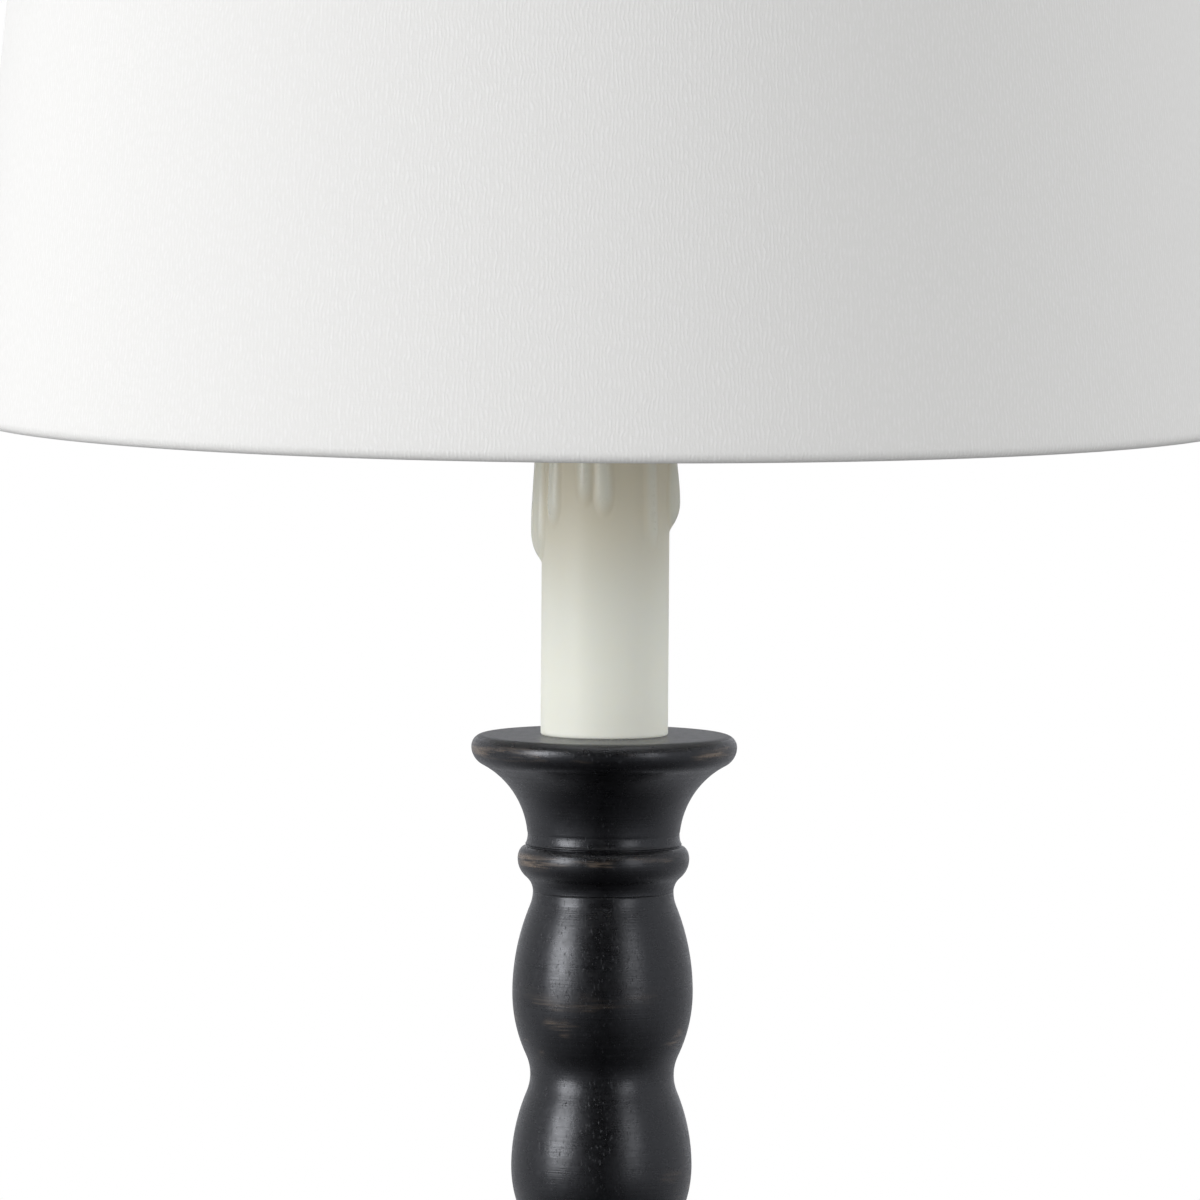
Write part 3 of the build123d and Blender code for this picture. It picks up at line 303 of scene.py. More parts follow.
put("Roughness", calc(add, "ADD", shine, calc(add, "MULTIPLY", dull, 0.36)))
put("Specular IOR Level", 0.66)
put("Specular Tint", (0.88, 0.91, 1.0, 1))
turning = bumped(add, mottle, 0.00005, bumped(add, lathe_lines, 0.00006))
pitted = bumped(add, calc(add, "SUBTRACT", 1.0, pores), 0.00003, turning)
put("Normal", pitted)
put("Coat Weight", 0.52)
put("Coat Roughness", 0.24)
put("Coat Normal", pitted)

plinth_line = np.concatenate([
    [(pedestal_tenon, plinth_top)],
    quarter((plinth_step - step_round, plinth_top - step_round), step_round, step_round, 90, 0),
    [(plinth_ledge, plinth_top - step_round)],
    quarter((plinth_ledge, shoulder_foot), plinth_edge - plinth_ledge, shoulder_high, 90, 0, 48),
    [(plinth_edge, plinth_foot + foot_round)],
    quarter((plinth_edge - foot_round, plinth_foot + foot_round), foot_round, foot_round, 0, -90),
    [(hollow_radius, plinth_foot)],
])
plinth_inside = np.array([(hollow_radius, hollow_top), (pedestal_tenon, hollow_top)])
turned_plinth = wooden(
    "turned_plinth", softened(plinth_line, step=0.0003, soft=0.0003), plinth_inside,
    columns=288, reach=0.006, depth=0.0005,
)
spots = spots_of(turned_plinth)
from_hole = np.hypot(spots[:, 0], spots[:, 2] - bushing_height)
in_hole = (from_hole < bushing_hole) & (spots[:, 1] > back_face)
spots[in_hole, 1] -= bushing_depth
turned_plinth.data.vertices.foreach_set("co", spots.ravel())
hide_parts("plinth")

# Weight, washer and nut. A cast-iron disc fills the hollow of the plinth, and a zinc-plated washer
# and hexagon nut pull the whole column down on it. The felt hides them.
cast_iron, add, put = new_finish("cast_iron")
sand = grain(add, (900, 900, 900), 5, 0.65)
rust = spread(add, grain(add, (70, 70, 70), 4), 0.5, 0.7)
put("Base Color", blended(add, rust, (0.045, 0.045, 0.047, 1), (0.085, 0.04, 0.02, 1)))
put("Metallic", 0.6)
put("Roughness", spread(add, sand, 0.3, 0.7, 0.55, 0.85))
put("Normal", bumped(add, sand, 0.0004))

zinc_steel, add, put = new_finish("zinc_steel")
spangle = grain(add, (260, 260, 260), 4)
put("Base Color", blended(add, spangle, (0.42, 0.44, 0.46, 1), (0.62, 0.63, 0.63, 1)))
put("Metallic", 1.0)
put("Roughness", spread(add, spangle, 0.3, 0.7, 0.28, 0.46))
put("Normal", bumped(add, grain(add, (60, 60, 1100), 2), 0.00005))


def finish_nodes(material, *names):
    """Give CAD pieces whose shape is right their finish."""
    for name in names:
        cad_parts[name].data.materials.clear()
        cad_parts[name].data.materials.append(material)


finish_nodes(cast_iron, "base_weight")
finish_nodes(zinc_steel, "base_washer", "base_nut", "lamp_pipe", "cup_washer", "cup_nut")

# Cord bushing. A flanged tube of black nylon, pushed into the back of the plinth, which keeps the
# cord off the wood. Its moulded face is fine and matt.
black_nylon, add, put = new_finish("black_nylon")
spark = grain(add, (2600, 2600, 2600), 3)
put("Base Color", blended(add, spark, (0.008, 0.008, 0.0085, 1), (0.016, 0.016, 0.017, 1)))
put("Roughness", spread(add, spark, 0.3, 0.7, 0.42, 0.6))
put("Normal", bumped(add, spark, 0.00006))
finish_nodes(black_nylon, "cord_bushing")

# Pedestal. Turned from one block as an upturned copy of the candle cup: a ring, a long trumpet and
# a rounded edge, glued into the plinth by a tenon. The same rubbed black paint.
pedestal_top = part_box("pedestal")[1].z
pedestal_neck = 0.0199
ring_radius = 0.024
ring_drop = 0.0108
ring_hollow = 0.010
quirk = 0.0015
trumpet_neck = 0.02105
trumpet_edge = 0.048
trumpet_lip = 0.006
edge_high = 0.0075
edge_round = 0.004
pedestal_tenon_length = 0.006
pipe_hole = 0.0053
socket_radius = 0.01205
socket_depth = 0.0145


def radii(drop, widen):
    """The radii of the two arcs of an s_curve added up: drop / sin of the turn, which is twice the
    angle whose tangent is widen / drop."""
    return drop / np.sin(2 * np.arctan(abs(widen) / drop))


def s_curve(start, drop, widen, first_radius, steps=40):
    """Two arcs that meet smoothly, upright at both ends: they fall by drop and move out by widen.
    The first has first_radius, and the second has what is left of the two radii."""
    start = np.array(start)
    turn = 2 * np.arctan(abs(widen) / drop)
    second_radius = radii(drop, widen) - first_radius
    angle = np.linspace(0, turn, steps)[:, None]
    way = np.concatenate([np.sign(widen) * (1 - np.cos(angle)), -np.sin(angle)], -1)
    end = start + (widen, -drop)
    return np.concatenate([start + first_radius * way, end - second_radius * way[::-1]])


def tenoned(foot, radius, length, top):
    """The hidden inside of a turned piece in section: down and round the tenon at its foot, then up
    the hole for the pipe to top."""
    return [(radius, foot), (radius, foot - length), (pipe_hole, foot - length), (pipe_hole, top)]


def socketed(top):
    """The hole in the top of a piece for the next one's tenon, in section."""
    return [(socket_radius, top - socket_depth), (socket_radius, top)]


ring_swell = ring_radius - pedestal_neck
ring_side = s_curve((pedestal_neck, pedestal_top), ring_drop, ring_swell, ring_hollow)
ring_foot = ring_side[-1, 1]
trumpet_flare = trumpet_edge - trumpet_neck
trumpet_drop = ring_foot - quirk - plinth_top - edge_high
trumpet_hollow = radii(trumpet_drop, trumpet_flare) - trumpet_lip
pedestal_line = np.concatenate([
    ring_side,
    quarter((ring_radius - quirk, ring_foot), quirk, quirk, 0, -90),
    s_curve((trumpet_neck, ring_foot - quirk), trumpet_drop, trumpet_flare, trumpet_hollow),
    quarter((trumpet_edge - edge_round, plinth_top + edge_round), edge_round, edge_round, 0, -90),
])
pedestal_inside = np.array(
    tenoned(plinth_top, pedestal_tenon, pedestal_tenon_length, pedestal_top - socket_depth)
    + socketed(pedestal_top)
)
turned_pedestal = wooden(
    "turned_pedestal", softened(pedestal_line, step=0.0003, soft=0.00025), pedestal_inside,
    columns=224, reach=0.006, depth=0.0005,
)
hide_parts("pedestal")

# Spindle. Seven bobbins turned one below the other from a single length of wood, each fullest a
# little below its middle, with a round hollow between. Tenons at both ends; black, rubbed back.
spindle_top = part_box("spindle")[1].z
bobbin_count = 7
bobbin_radius = 0.02505
bobbin_length = 0.0465
top_bobbin_length = 0.0509
fullest_at = 0.55
valley_radius = 0.0199
valley_hollow = 0.0125
neck_radius = 0.0195
neck_hollow = 0.010
tenon_radius = 0.012
tenon_length = 0.014

narrowing = valley_radius - bobbin_radius
spindle_line = [np.array([(neck_radius, spindle_top)])]
for number in range(bobbin_count):
    length = bobbin_length if number else top_bobbin_length
    hollow = valley_hollow if number else neck_hollow
    start = spindle_line[-1][-1]
    belly = s_curve(start, length * fullest_at, bobbin_radius - start[0], hollow)
    lower = length * (1 - fullest_at)
    under = s_curve(belly[-1], lower, narrowing, radii(lower, narrowing) - valley_hollow)
    spindle_line += [belly, under]
spindle_foot = spindle_line[-1][-1][1]
spindle_inside = np.array(
    tenoned(spindle_foot, tenon_radius, tenon_length, spindle_top - socket_depth)
    + socketed(spindle_top)
)
spindle_outline = softened(np.concatenate(spindle_line), step=0.0007, soft=0.0007)
turned_spindle = wooden(
    "turned_spindle", spindle_outline, spindle_inside,
    columns=160, reach=0.012, depth=0.0007, lower=15,
)
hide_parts("spindle")

# Candle cup. Turned with a flat top, a rounded rim, a flare down to a short throat and a ring under
# it, and glued on the spindle by its tenon. Paint is thin and brown shows on the rim and ring.
cup_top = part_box("candle_cup")[1].z
sleeve_seat = 0.0178
rim_radius = 0.03685
rim_round = 0.0033
flare_drop = 0.0262
flare_round = 0.0055
throat_radius = 0.02105
throat_length = 0.0018
cove_edge = 0.0219
cove_high = 0.0030
bead_radius = 0.0238
bead_wide = 0.0022
bead_high = 0.0035
bead_drop = 0.0092
bead_under = 0.0067
dull_depth = 0.0006
dull_fade = 0.0005
cup_columns = 176

rim_level = cup_top - rim_round
cup_flare = s_curve((rim_radius, rim_level), flare_drop, throat_radius - rim_radius, flare_round)
throat_foot = cup_flare[-1, 1] - throat_length
cove_level = throat_foot + 0.0040
cove_foot = (0.0213, throat_foot + 0.0005)
bead_level = throat_foot - 0.0031
cup_line = np.concatenate([
    [(sleeve_seat, cup_top)],
    quarter((rim_radius - rim_round, rim_level), rim_round, rim_round, 90, 0),
    cup_flare[cup_flare[:, 1] > cove_level + 0.0002],
    quarter((cove_edge, cove_level), cove_edge - throat_radius, cove_high, 180, 262),
    [cove_foot],
    quarter((bead_radius - bead_wide, bead_level), bead_wide, bead_high, 84, 0),
    s_curve((bead_radius, bead_level), bead_drop, neck_radius - bead_radius, bead_under),
])
cup_inside = np.array(tenoned(spindle_top, tenon_radius, tenon_length, cup_top))
cup_outline = softened(cup_line, step=0.0002, soft=0.00015)
turned_cup = wooden("turned_cup", cup_outline, cup_inside, cup_columns, reach=0.005, depth=0.0003)
level_top = np.clip((cup_outline[:, 1] - cup_top + dull_depth) / dull_fade, 0, 1)
dull = np.append(level_top, np.zeros(len(cup_inside)))
mark(turned_cup, "dull", np.repeat(dull, cup_columns))
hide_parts("candle_cup")

# Candle sleeve. A tube moulded in ivory resin over the lamp pipe, standing on the cup. Runs of wax
# have come down from its top: each is thin above and ends in a full round bead. Its colour grows
# darker and warmer toward the top, partly a wax coat and partly painted shade under the lampshade.
sleeve_radius = 0.01765
sleeve_bore = 0.01585
sleeve_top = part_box("candle_sleeve")[1].z
drip_root = 0.002
drip_tip = 0.0085
drip_swell = 0.011
drip_hollow = 0.0011
wander_reach = 0.03
foot_bevel = 0.0003
run_from = 0.0002
run_fade = 0.0009
coat_and_shade_foot = 0.028
coat_and_shade_fade = 0.048
drips = np.array([
    (183, 0.0475, 0.0031, 0.72), (215, 0.0570, 0.0013, 0.75), (250, 0.0630, 0.0010, 0.85),
    (268, 0.0605, 0.0011, 0.8), (316, 0.0500, 0.0009, 0.9), (359, 0.0562, 0.0031, 0.42),
    (42, 0.0490, 0.0022, 0.7), (88, 0.0660, 0.0026, 0.6), (131, 0.0440, 0.0024, 0.7),
])


def waxed(angle, height):
    """Radius of the sleeve. A row of drips gives a bearing in degrees, the height of the tip, how
    far the bead stands out and the share of that which the run above keeps. Each run is a round bar
    on an upright line inside the wall: seen from the middle, c cos a + root(b b - c c sin a sin a)
    with c the line's radius and b the bar's, which swells to a bead and closes below it as a
    quarter of an ellipse. Runs and wall are joined by the larger of the two with a soft hollow."""
    radius = np.full(np.broadcast(angle, height).shape, sleeve_radius)
    line = sleeve_radius - drip_root
    for number, (bearing, tip, proud, share) in enumerate(drips):
        free = np.clip((height - tip) / wander_reach, 0, 1)
        wander = 0.035 * np.sin(height * 90 + number) * free
        turn = np.angle(np.exp(1j * (angle - np.radians(bearing) - wander)))
        full = tip + drip_tip
        swell = share + (1 - share) * np.exp(-(((height - full) / drip_swell) ** 2))
        swell = swell + 0.05 * np.sin(height * 210 + 2 * number)
        bar = drip_root + proud * swell
        below = np.clip((full - height) / drip_tip, 0, 1)
        bar = bar * np.sqrt(1 - below**2)
        inside = bar**2 - (line * np.sin(turn)) ** 2
        reach = line * np.cos(turn) + np.sqrt(np.clip(inside, 0, None))
        reach = np.where((inside > 0) & (np.cos(turn) > 0), reach, 0)
        near = np.clip(1 - np.abs(reach - radius) / drip_hollow, 0, 1)
        radius = np.maximum(reach, radius) + near**2 * drip_hollow / 4
    return radius


columns = 384
angle = np.linspace(0, 2 * np.pi, columns + 1)
outside = np.linspace(0, sleeve_top - cup_top, 240)
wall = waxed(angle[None, :-1], outside[:, None])
wall[0] -= foot_bevel
bore = np.full((2, columns), sleeve_bore)
radius = np.concatenate([wall, bore])
height = cup_top + np.concatenate([outside, outside[[-1, 0]]])
points = around(radius, angle[:-1], height[:, None])
waxed_sleeve = skin(
    "waxed_sleeve", points, angle * sleeve_radius, np.append(height, height[-1]), ring=True
)
run = np.clip((wall - sleeve_radius - run_from) / run_fade, 0, 1)
# Painted shade: the colour darkens and warms toward the top of the sleeve, where the lampshade
# shades it, with the runs keeping less of it; partly this is a wax coat.
coat_and_shade = np.clip((outside - coat_and_shade_foot) / coat_and_shade_fade, 0, 1)[:, None]
wax_and_shade = np.concatenate([0.12 * run + coat_and_shade * coat_and_shade * (3 - 2 * coat_and_shade) * (1 - 0.85 * run), 0 * bore])
mark(waxed_sleeve, "wax_and_shade", wax_and_shade)
mark(waxed_sleeve, "run", np.concatenate([run, 0 * bore]))
ivory_resin, add, put = new_finish("ivory_resin")
wax_and_shade = add("Attribute", attribute_name="wax_and_shade").outputs["Fac"]
run = add("Attribute", attribute_name="run").outputs["Fac"]
cloud = grain(add, (45, 45, 30), 3)
speck = grain(add, (700, 700, 700), 3)
ivory = blended(add, cloud, (0.885, 0.895, 0.79, 1), (0.905, 0.915, 0.83, 1))
# The tan mixed in toward the top is partly wax colour and partly painted shade.
put("Base Color", blended(add, wax_and_shade, ivory, (0.8, 0.745, 0.585, 1)))
put("Roughness", calc(add, "SUBTRACT", spread(add, speck, 0.35, 0.65, 0.42, 0.5, False),
                      calc(add, "MULTIPLY", run, 0.24)))
put("Specular IOR Level", 0.4)
put("Subsurface Weight", 0.25)
put("Subsurface Radius", (1.0, 0.9, 0.7))
put("Subsurface Scale", 0.002)
ripple = bumped(add, grain(add, (110, 110, 60), 2), 0.00012)
put("Normal", bumped(add, speck, 0.000012, ripple))
waxed_sleeve.data.materials.append(ivory_resin)
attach(waxed_sleeve, "lamp")
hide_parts("candle_sleeve")

# Brass fittings. The cap that closes the sleeve, the strip under the socket, the socket's cap and
# shell, the harp with its ferrules and the screws are lacquered brass, drawn and lightly brushed.
brass, add, put = new_finish("brass")
tarnish = spread(add, grain(add, (55, 55, 55), 4, 0.6), 0.35, 0.75)
brushing = grain(add, (160, 160, 2600), 3)
put("Base Color", blended(add, tarnish, (0.79, 0.58, 0.27, 1), (0.55, 0.37, 0.15, 1)))
put("Metallic", 1.0)
put("Roughness", calc(add, "ADD", spread(add, brushing, 0.3, 0.7, 0.2, 0.34, False),
                      calc(add, "MULTIPLY", tarnish, 0.12)))
put("Normal", bumped(add, brushing, 0.000012))
finish_nodes(
    brass, "sleeve_cap", "harp_saddle", "harp_bow", "ferrule_rear", "ferrule_front", "socket_cap",
    "set_screw", "socket_shell", "terminal_screws", "centre_contact", "switch_shaft",
    "finial_insert",
)

# Socket insides. A grey fibre liner keeps the brass shell off the live parts, which sit in a
# moulded black body under the thin aluminium screw shell.
grey_fibre, add, put = new_finish("grey_fibre")
pulp = grain(add, (900, 900, 250), 5, 0.7)
put("Base Color", blended(add, pulp, (0.17, 0.16, 0.145, 1), (0.34, 0.32, 0.29, 1)))
put("Roughness", spread(add, pulp, 0.3, 0.7, 0.7, 0.9))
put("Normal", bumped(add, pulp, 0.0001))
finish_nodes(grey_fibre, "socket_liner")

aluminium, add, put = new_finish("aluminium")
drawn = grain(add, (200, 200, 2200), 3)
put("Base Color", blended(add, drawn, (0.7, 0.7, 0.7, 1), (0.84, 0.84, 0.83, 1)))
put("Metallic", 1.0)
put("Roughness", spread(add, drawn, 0.3, 0.7, 0.22, 0.38, False))
put("Normal", bumped(add, drawn, 0.000015))
finish_nodes(aluminium, "screw_shell")

black_phenolic, add, put = new_finish("black_phenolic")
swirl = grain(add, (120, 120, 120), 5, 0.6)
put("Base Color", blended(add, swirl, (0.006, 0.006, 0.006, 1), (0.02, 0.018, 0.016, 1)))
put("Roughness", spread(add, swirl, 0.3, 0.7, 0.18, 0.34))
put("Normal", bumped(add, grain(add, (1600, 1600, 1600), 2), 0.00001))
finish_nodes(black_phenolic, "socket_body", "switch_key")

# Bulb. A blown globe of opal glass in a threaded aluminium cap, with a black glass insulator and a
# blob of solder below. The thread is rolled into the cap with a pitch of 3.6 mm.
opal_glass, add, put = new_finish("opal_glass")
coating = grain(add, (500, 500, 500), 3)
put("Base Color", blended(add, coating, (0.86, 0.86, 0.85, 1), (0.92, 0.92, 0.91, 1)))
put("Roughness", spread(add, coating, 0.3, 0.7, 0.16, 0.26))
put("Subsurface Weight", 0.2)
put("Subsurface Scale", 0.003)
put("Normal", bumped(add, grain(add, (60, 60, 60), 2), 0.00004))
finish_nodes(opal_glass, "bulb_glass")

cap_low, cap_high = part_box("bulb_cap")
cap_radius = 0.013
cap_wall = 0.0004
plain_foot = 0.001
plain_collar = 0.0035
thread_pitch = 0.00362
thread_depth = 0.0007
thread_fade = 0.0015
angle = np.linspace(0, 2 * np.pi, 97)
height = np.linspace(cap_low.z, cap_high.z, 150)
room = np.minimum(height - cap_low.z - plain_foot, cap_high.z - plain_collar - height)
fade = np.clip(room / thread_fade, 0, 1)
turns = (height[:, None] - cap_low.z) / thread_pitch - angle[None, :-1] / (2 * np.pi)
coil = 0.5 - 0.5 * np.cos(2 * np.pi * turns)
wall = cap_radius - thread_depth * coil * fade[:, None]
radius = np.concatenate([wall, wall[::-1] - cap_wall])
height = np.concatenate([height, height[::-1]])
points = around(radius, angle[:-1], height[:, None])
threaded_cap = skin("threaded_cap", points, angle * cap_radius, np.append(height, cap_low.z), True)
threaded_cap.data.materials.append(aluminium)
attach(threaded_cap, "bulb")
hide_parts("bulb_cap")

black_glass, add, put = new_finish("black_glass")
streak = grain(add, (300, 300, 300), 3)
put("Base Color", blended(add, streak, (0.004, 0.004, 0.006, 1), (0.012, 0.01, 0.014, 1)))
put("Roughness", spread(add, streak, 0.3, 0.7, 0.06, 0.16))
finish_nodes(black_glass, "bulb_insulator")

solder, add, put = new_finish("solder")
frost = grain(add, (800, 800, 800), 4)
put("Base Color", blended(add, frost, (0.38, 0.38, 0.39, 1), (0.6, 0.6, 0.6, 1)))
put("Metallic", 1.0)
put("Roughness", spread(add, frost, 0.3, 0.7, 0.3, 0.5))
put("Normal", bumped(add, frost, 0.00006))
finish_nodes(solder, "bulb_contact")

# Harp stud. A turned brass stud riveted through the top of the harp so that it swivels: a disc that
# the shade sits on, and above it a quarter-inch thread for the finial.
stud_low, stud_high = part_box("harp_stud")
rivet_radius = 0.0035
rivet_top = stud_low.z + 0.0012
rivet_bevel = 0.0003
shank_radius = 0.002
seat = stud_high.z - 0.014
disc_radius = 0.008
disc_foot = seat - 0.0016
disc_bevel = 0.0002
plain_radius = 0.0031
thread_radius = 0.00316
thread_cut = 0.00045
stud_pitch = 0.00094
relief_length = 0.0008
relief_fade = 0.0006
nominal_radius = 0.0032
tip_radius = 0.0026
tip_bevel = 0.0005
stud_columns = 64
stud_line = np.array([
    (0.0, stud_low.z), (rivet_radius - rivet_bevel, stud_low.z),
    (rivet_radius, stud_low.z + rivet_bevel), (rivet_radius, rivet_top),
    (shank_radius, rivet_top), (shank_radius, disc_foot),
    (disc_radius - disc_bevel, disc_foot), (disc_radius, disc_foot + disc_bevel),
    (disc_radius, seat - disc_bevel), (disc_radius - disc_bevel, seat), (plain_radius, seat),
])
stud_height = np.linspace(seat, stud_high.z - tip_bevel, 170)
angle = np.linspace(0, 2 * np.pi, stud_columns + 1)
turns = (stud_height[:, None] - seat) / stud_pitch - angle[None, :-1] / (2 * np.pi)
saw = np.abs(2 * (turns % 1) - 1)
fade = np.clip((stud_height - seat - relief_length) / relief_fade, 0, 1)[:, None]
thread = thread_radius - thread_cut * saw * fade
plain = np.repeat(stud_line[:, :1], stud_columns, 1)
tip = np.repeat(np.array([[tip_radius], [0.0]]), stud_columns, 1)
radius = np.concatenate([plain, thread, tip])
height = np.concatenate([stud_line[:, 1], stud_height, [stud_high.z, stud_high.z]])
points = around(radius, angle[:-1], height[:, None])
threaded_stud = skin("threaded_stud", points, angle * nominal_radius, np.append(height, height[-1]))
weld(threaded_stud)
threaded_stud.data.set_sharp_from_angle(angle=radians(40))
threaded_stud.data.materials.append(brass)
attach(threaded_stud, "stud")
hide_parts("harp_stud")

# Shade cover. White linen-look cloth laminated to the stiff liner, drawn round a tapered drum and
# lapped at the back, its edges rolled inward round the two wires and stuck down.
shade_low, shade_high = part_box("shade_cover")
bottom_radius = 0.1778
top_radius = 0.1524
mean_radius = 0.1651
cloth = 0.0007
roll = 0.0028
turn_in = 0.004
cut_bevel = 0.0001
lap_width = 0.012
lap_rise = 0.0004
slope = np.array([top_radius - bottom_radius, shade_high.z - shade_low.z])
slope_foot = np.array([bottom_radius, shade_low.z])
slope_length = np.hypot(*slope)


def on_slope(up, inward):
    """Points of the shade's wall in section: up along the slope and square to it inward."""
    along = slope / slope_length
    square = np.array([-along[1], along[0]])
    return slope_foot + np.multiply.outer(up, along) + np.multiply.outer(inward, square)


def rolled(middle, radius, start, end, steps):
    """An arc of the hem in the slope's own directions, angles in degrees."""
    turn = np.radians(np.linspace(start, end, steps))
    return np.stack([middle + radius * np.cos(turn), roll + radius * np.sin(turn)], -1)


high = slope_length - roll
high_cut = high - turn_in
low_cut = roll + turn_in
wall_up = np.linspace(roll, high, 90)
section = np.concatenate([
    np.stack([wall_up, 0 * wall_up], -1),
    rolled(high, roll, -90, 90, 20)[1:],
    [(high - turn_in / 2, 2 * roll), (high_cut + cut_bevel, 2 * roll),
     (high_cut, 2 * roll - cloth / 2), (high_cut + cut_bevel, 2 * roll - cloth)],
    rolled(high, roll - cloth, 90, -90, 16),
    np.stack([wall_up[::-6], 0 * wall_up[::-6] + cloth], -1)[1:-1],
    rolled(roll, roll - cloth, -90, -270, 16),
    [(low_cut - cut_bevel, 2 * roll - cloth), (low_cut, 2 * roll - cloth / 2),
     (low_cut - cut_bevel, 2 * roll), (roll + turn_in / 2, 2 * roll)],
    rolled(roll, roll, 90, 270, 20)[:-1],
])
profile = on_slope(section[:, 0], section[:, 1])
lap_angle = lap_width / bottom_radius
angle = np.unique(np.concatenate([
    np.linspace(0, 2 * np.pi, 361),
    np.pi / 2 + lap_angle * np.linspace(-0.8, 0.8, 33),
]))
from_lap = (angle[:-1] - np.pi / 2) / lap_angle
lap = np.clip((from_lap + 0.5) / 0.05, 0, 1) * np.clip((0.5 - from_lap) / 0.4, 0, 1)
outer = section[:, 1:] < cloth / 2
radius = profile[:, :1] + lap_rise * outer * lap
points = around(radius, angle[:-1], profile[:, 1:])
along = lengths(section)
along = np.append(along, along[-1] + cut_bevel)
shade_cloth = skin("shade_cloth", points, angle * mean_radius, along, ring=True)
white_fabric, add, put = new_finish("white_fabric")
yarn_pitch = 0.0011
yarn_sway = 15.0
sway = grain(add, (170, 150, 1), 2, 0.5, "UV")
count = add("SeparateXYZ", {0: add("TexCoord").outputs["UV"]}).outputs["X"]
count = calc(add, "MULTIPLY", count, 2 * np.pi / yarn_pitch)
count = calc(add, "ADD", count, calc(add, "MULTIPLY", sway, yarn_sway))
threads = add("Math", {0: count}, operation="SINE").outputs[0]
threads = spread(add, threads, -1.0, 1.0, 0.0, 1.0, False)
breaks = spread(add, grain(add, (900, 460, 1), 2, 0.5, "UV"), 0.35, 0.65, 0.05, 1.0)
picks = grain(add, (220, 1500, 1), 2, 0.5, "UV")
weave = calc(add, "MULTIPLY", threads, breaks)
put("Base Color", blended(add, weave, (0.768, 0.766, 0.758, 1), (0.81, 0.809, 0.805, 1)))
put("Roughness", 0.9)
put("Specular IOR Level", 0.15)
put("Sheen Weight", 0.06)
woven = bumped(add, weave, 0.00007)
put("Normal", bumped(add, picks, 0.00003, woven))
shade_cloth.data.materials.append(white_fabric)
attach(shade_cloth, "shade")
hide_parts("shade_cover")

# Liner, rings and spider. A sheet of white styrene stiffens the cloth from inside, and the rings
# and the three-armed spider are steel wire, welded and powder-coated white.
white_styrene, add, put = new_finish("white_styrene")
sheen = grain(add, (25, 25, 25), 3)
put("Base Color", blended(add, sheen, (0.84, 0.84, 0.83, 1), (0.88, 0.88, 0.872, 1)))
put("Roughness", spread(add, sheen, 0.3, 0.7, 0.38, 0.5))
put("Normal", bumped(add, grain(add, (900, 900, 900), 2), 0.00001))
finish_nodes(white_styrene, "shade_liner")

white_wire, add, put = new_finish("white_wire")
peel = grain(add, (1100, 1100, 1100), 2)
put("Base Color", blended(add, peel, (0.78, 0.78, 0.77, 1), (0.83, 0.83, 0.82, 1)))
put("Roughness", spread(add, peel, 0.3, 0.7, 0.32, 0.45))
put("Normal", bumped(add, peel, 0.00004))
finish_nodes(white_wire, "shade_bottom_ring", "shade_top_ring", "spider_washer", "spider_arms")

# Finial. A small ball on a waisted foot, turned from the same wood and painted to match, with a
# threaded brass insert that screws down on the stud and holds the shade.
finial_low, finial_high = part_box("finial_knob")
ball_radius = 0.012
ball_middle = finial_high.z - ball_radius
ball_neck = 0.0065
ball_end = -np.degrees(np.arccos(ball_neck / ball_radius))
waist_middle = 0.0105
waist_round = 0.005
waist_rise = 0.003
waist_half = np.degrees(np.arcsin(waist_rise / waist_round))
foot_middle = 0.0085
foot_top = finial_low.z + 0.003
knob_round = 0.0015
insert_radius = 0.0048
insert_top = finial_low.z + 0.0151
finial_columns = 128
finial_line = np.concatenate([
    quarter((0.0, ball_middle), ball_radius, ball_radius, 90, ball_end, 60),
    quarter((waist_middle, foot_top + waist_rise), waist_round, waist_round,
            180 - waist_half, 180 + waist_half),
    quarter((foot_middle, foot_top - knob_round), knob_round, knob_round, 90, -90),
    [(insert_radius, finial_low.z)],
])
finial_outline = softened(finial_line, step=0.0002, soft=0.00018)
finial_outline[0, 0] = 0
finial_inside = [(insert_radius, insert_top), (0.0, insert_top)]
turned_finial = turned(
    "turned_finial", np.concatenate([finial_outline, finial_inside]), finial_columns, ring=False
)
wear = 0.8 * crests(finial_outline, reach=0.004, depth=0.0004)
wear = np.append(wear, np.zeros(len(finial_inside)))
mark(turned_finial, "wear", np.repeat(wear, finial_columns))
weld(turned_finial)
turned_finial.data.materials.append(black_wood)
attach(turned_finial, "finial")
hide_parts("finial_knob")

# Studio. A pale round floor that fades into a white surround, a tall soft light on the left, and a
# narrower and weaker one on the right. What lights the lamp from the surround is dim in front.
scene = bpy.context.scene
scene.view_settings.view_transform = "Standard"
floor_level = -0.0002
floor_ring = np.array([[0.0], [0.3], [0.8], [1.4], [2.4]])
angle = np.linspace(0, 2 * np.pi, 97)
points = around(floor_ring, angle[:-1], floor_level)
floor = skin("floor", points, angle, np.append(floor_ring, floor_ring[-1]))
weld(floor)


def seen_rays(add):
    """One for rays that the camera sees straight, by gloss or through glass, zero for others."""
    rays = add("LightPath").outputs
    seen = calc(add, "MAXIMUM", rays["Is Camera Ray"], rays["Is Glossy Ray"])
    return calc(add, "MAXIMUM", seen, rays["Is Transmission Ray"])


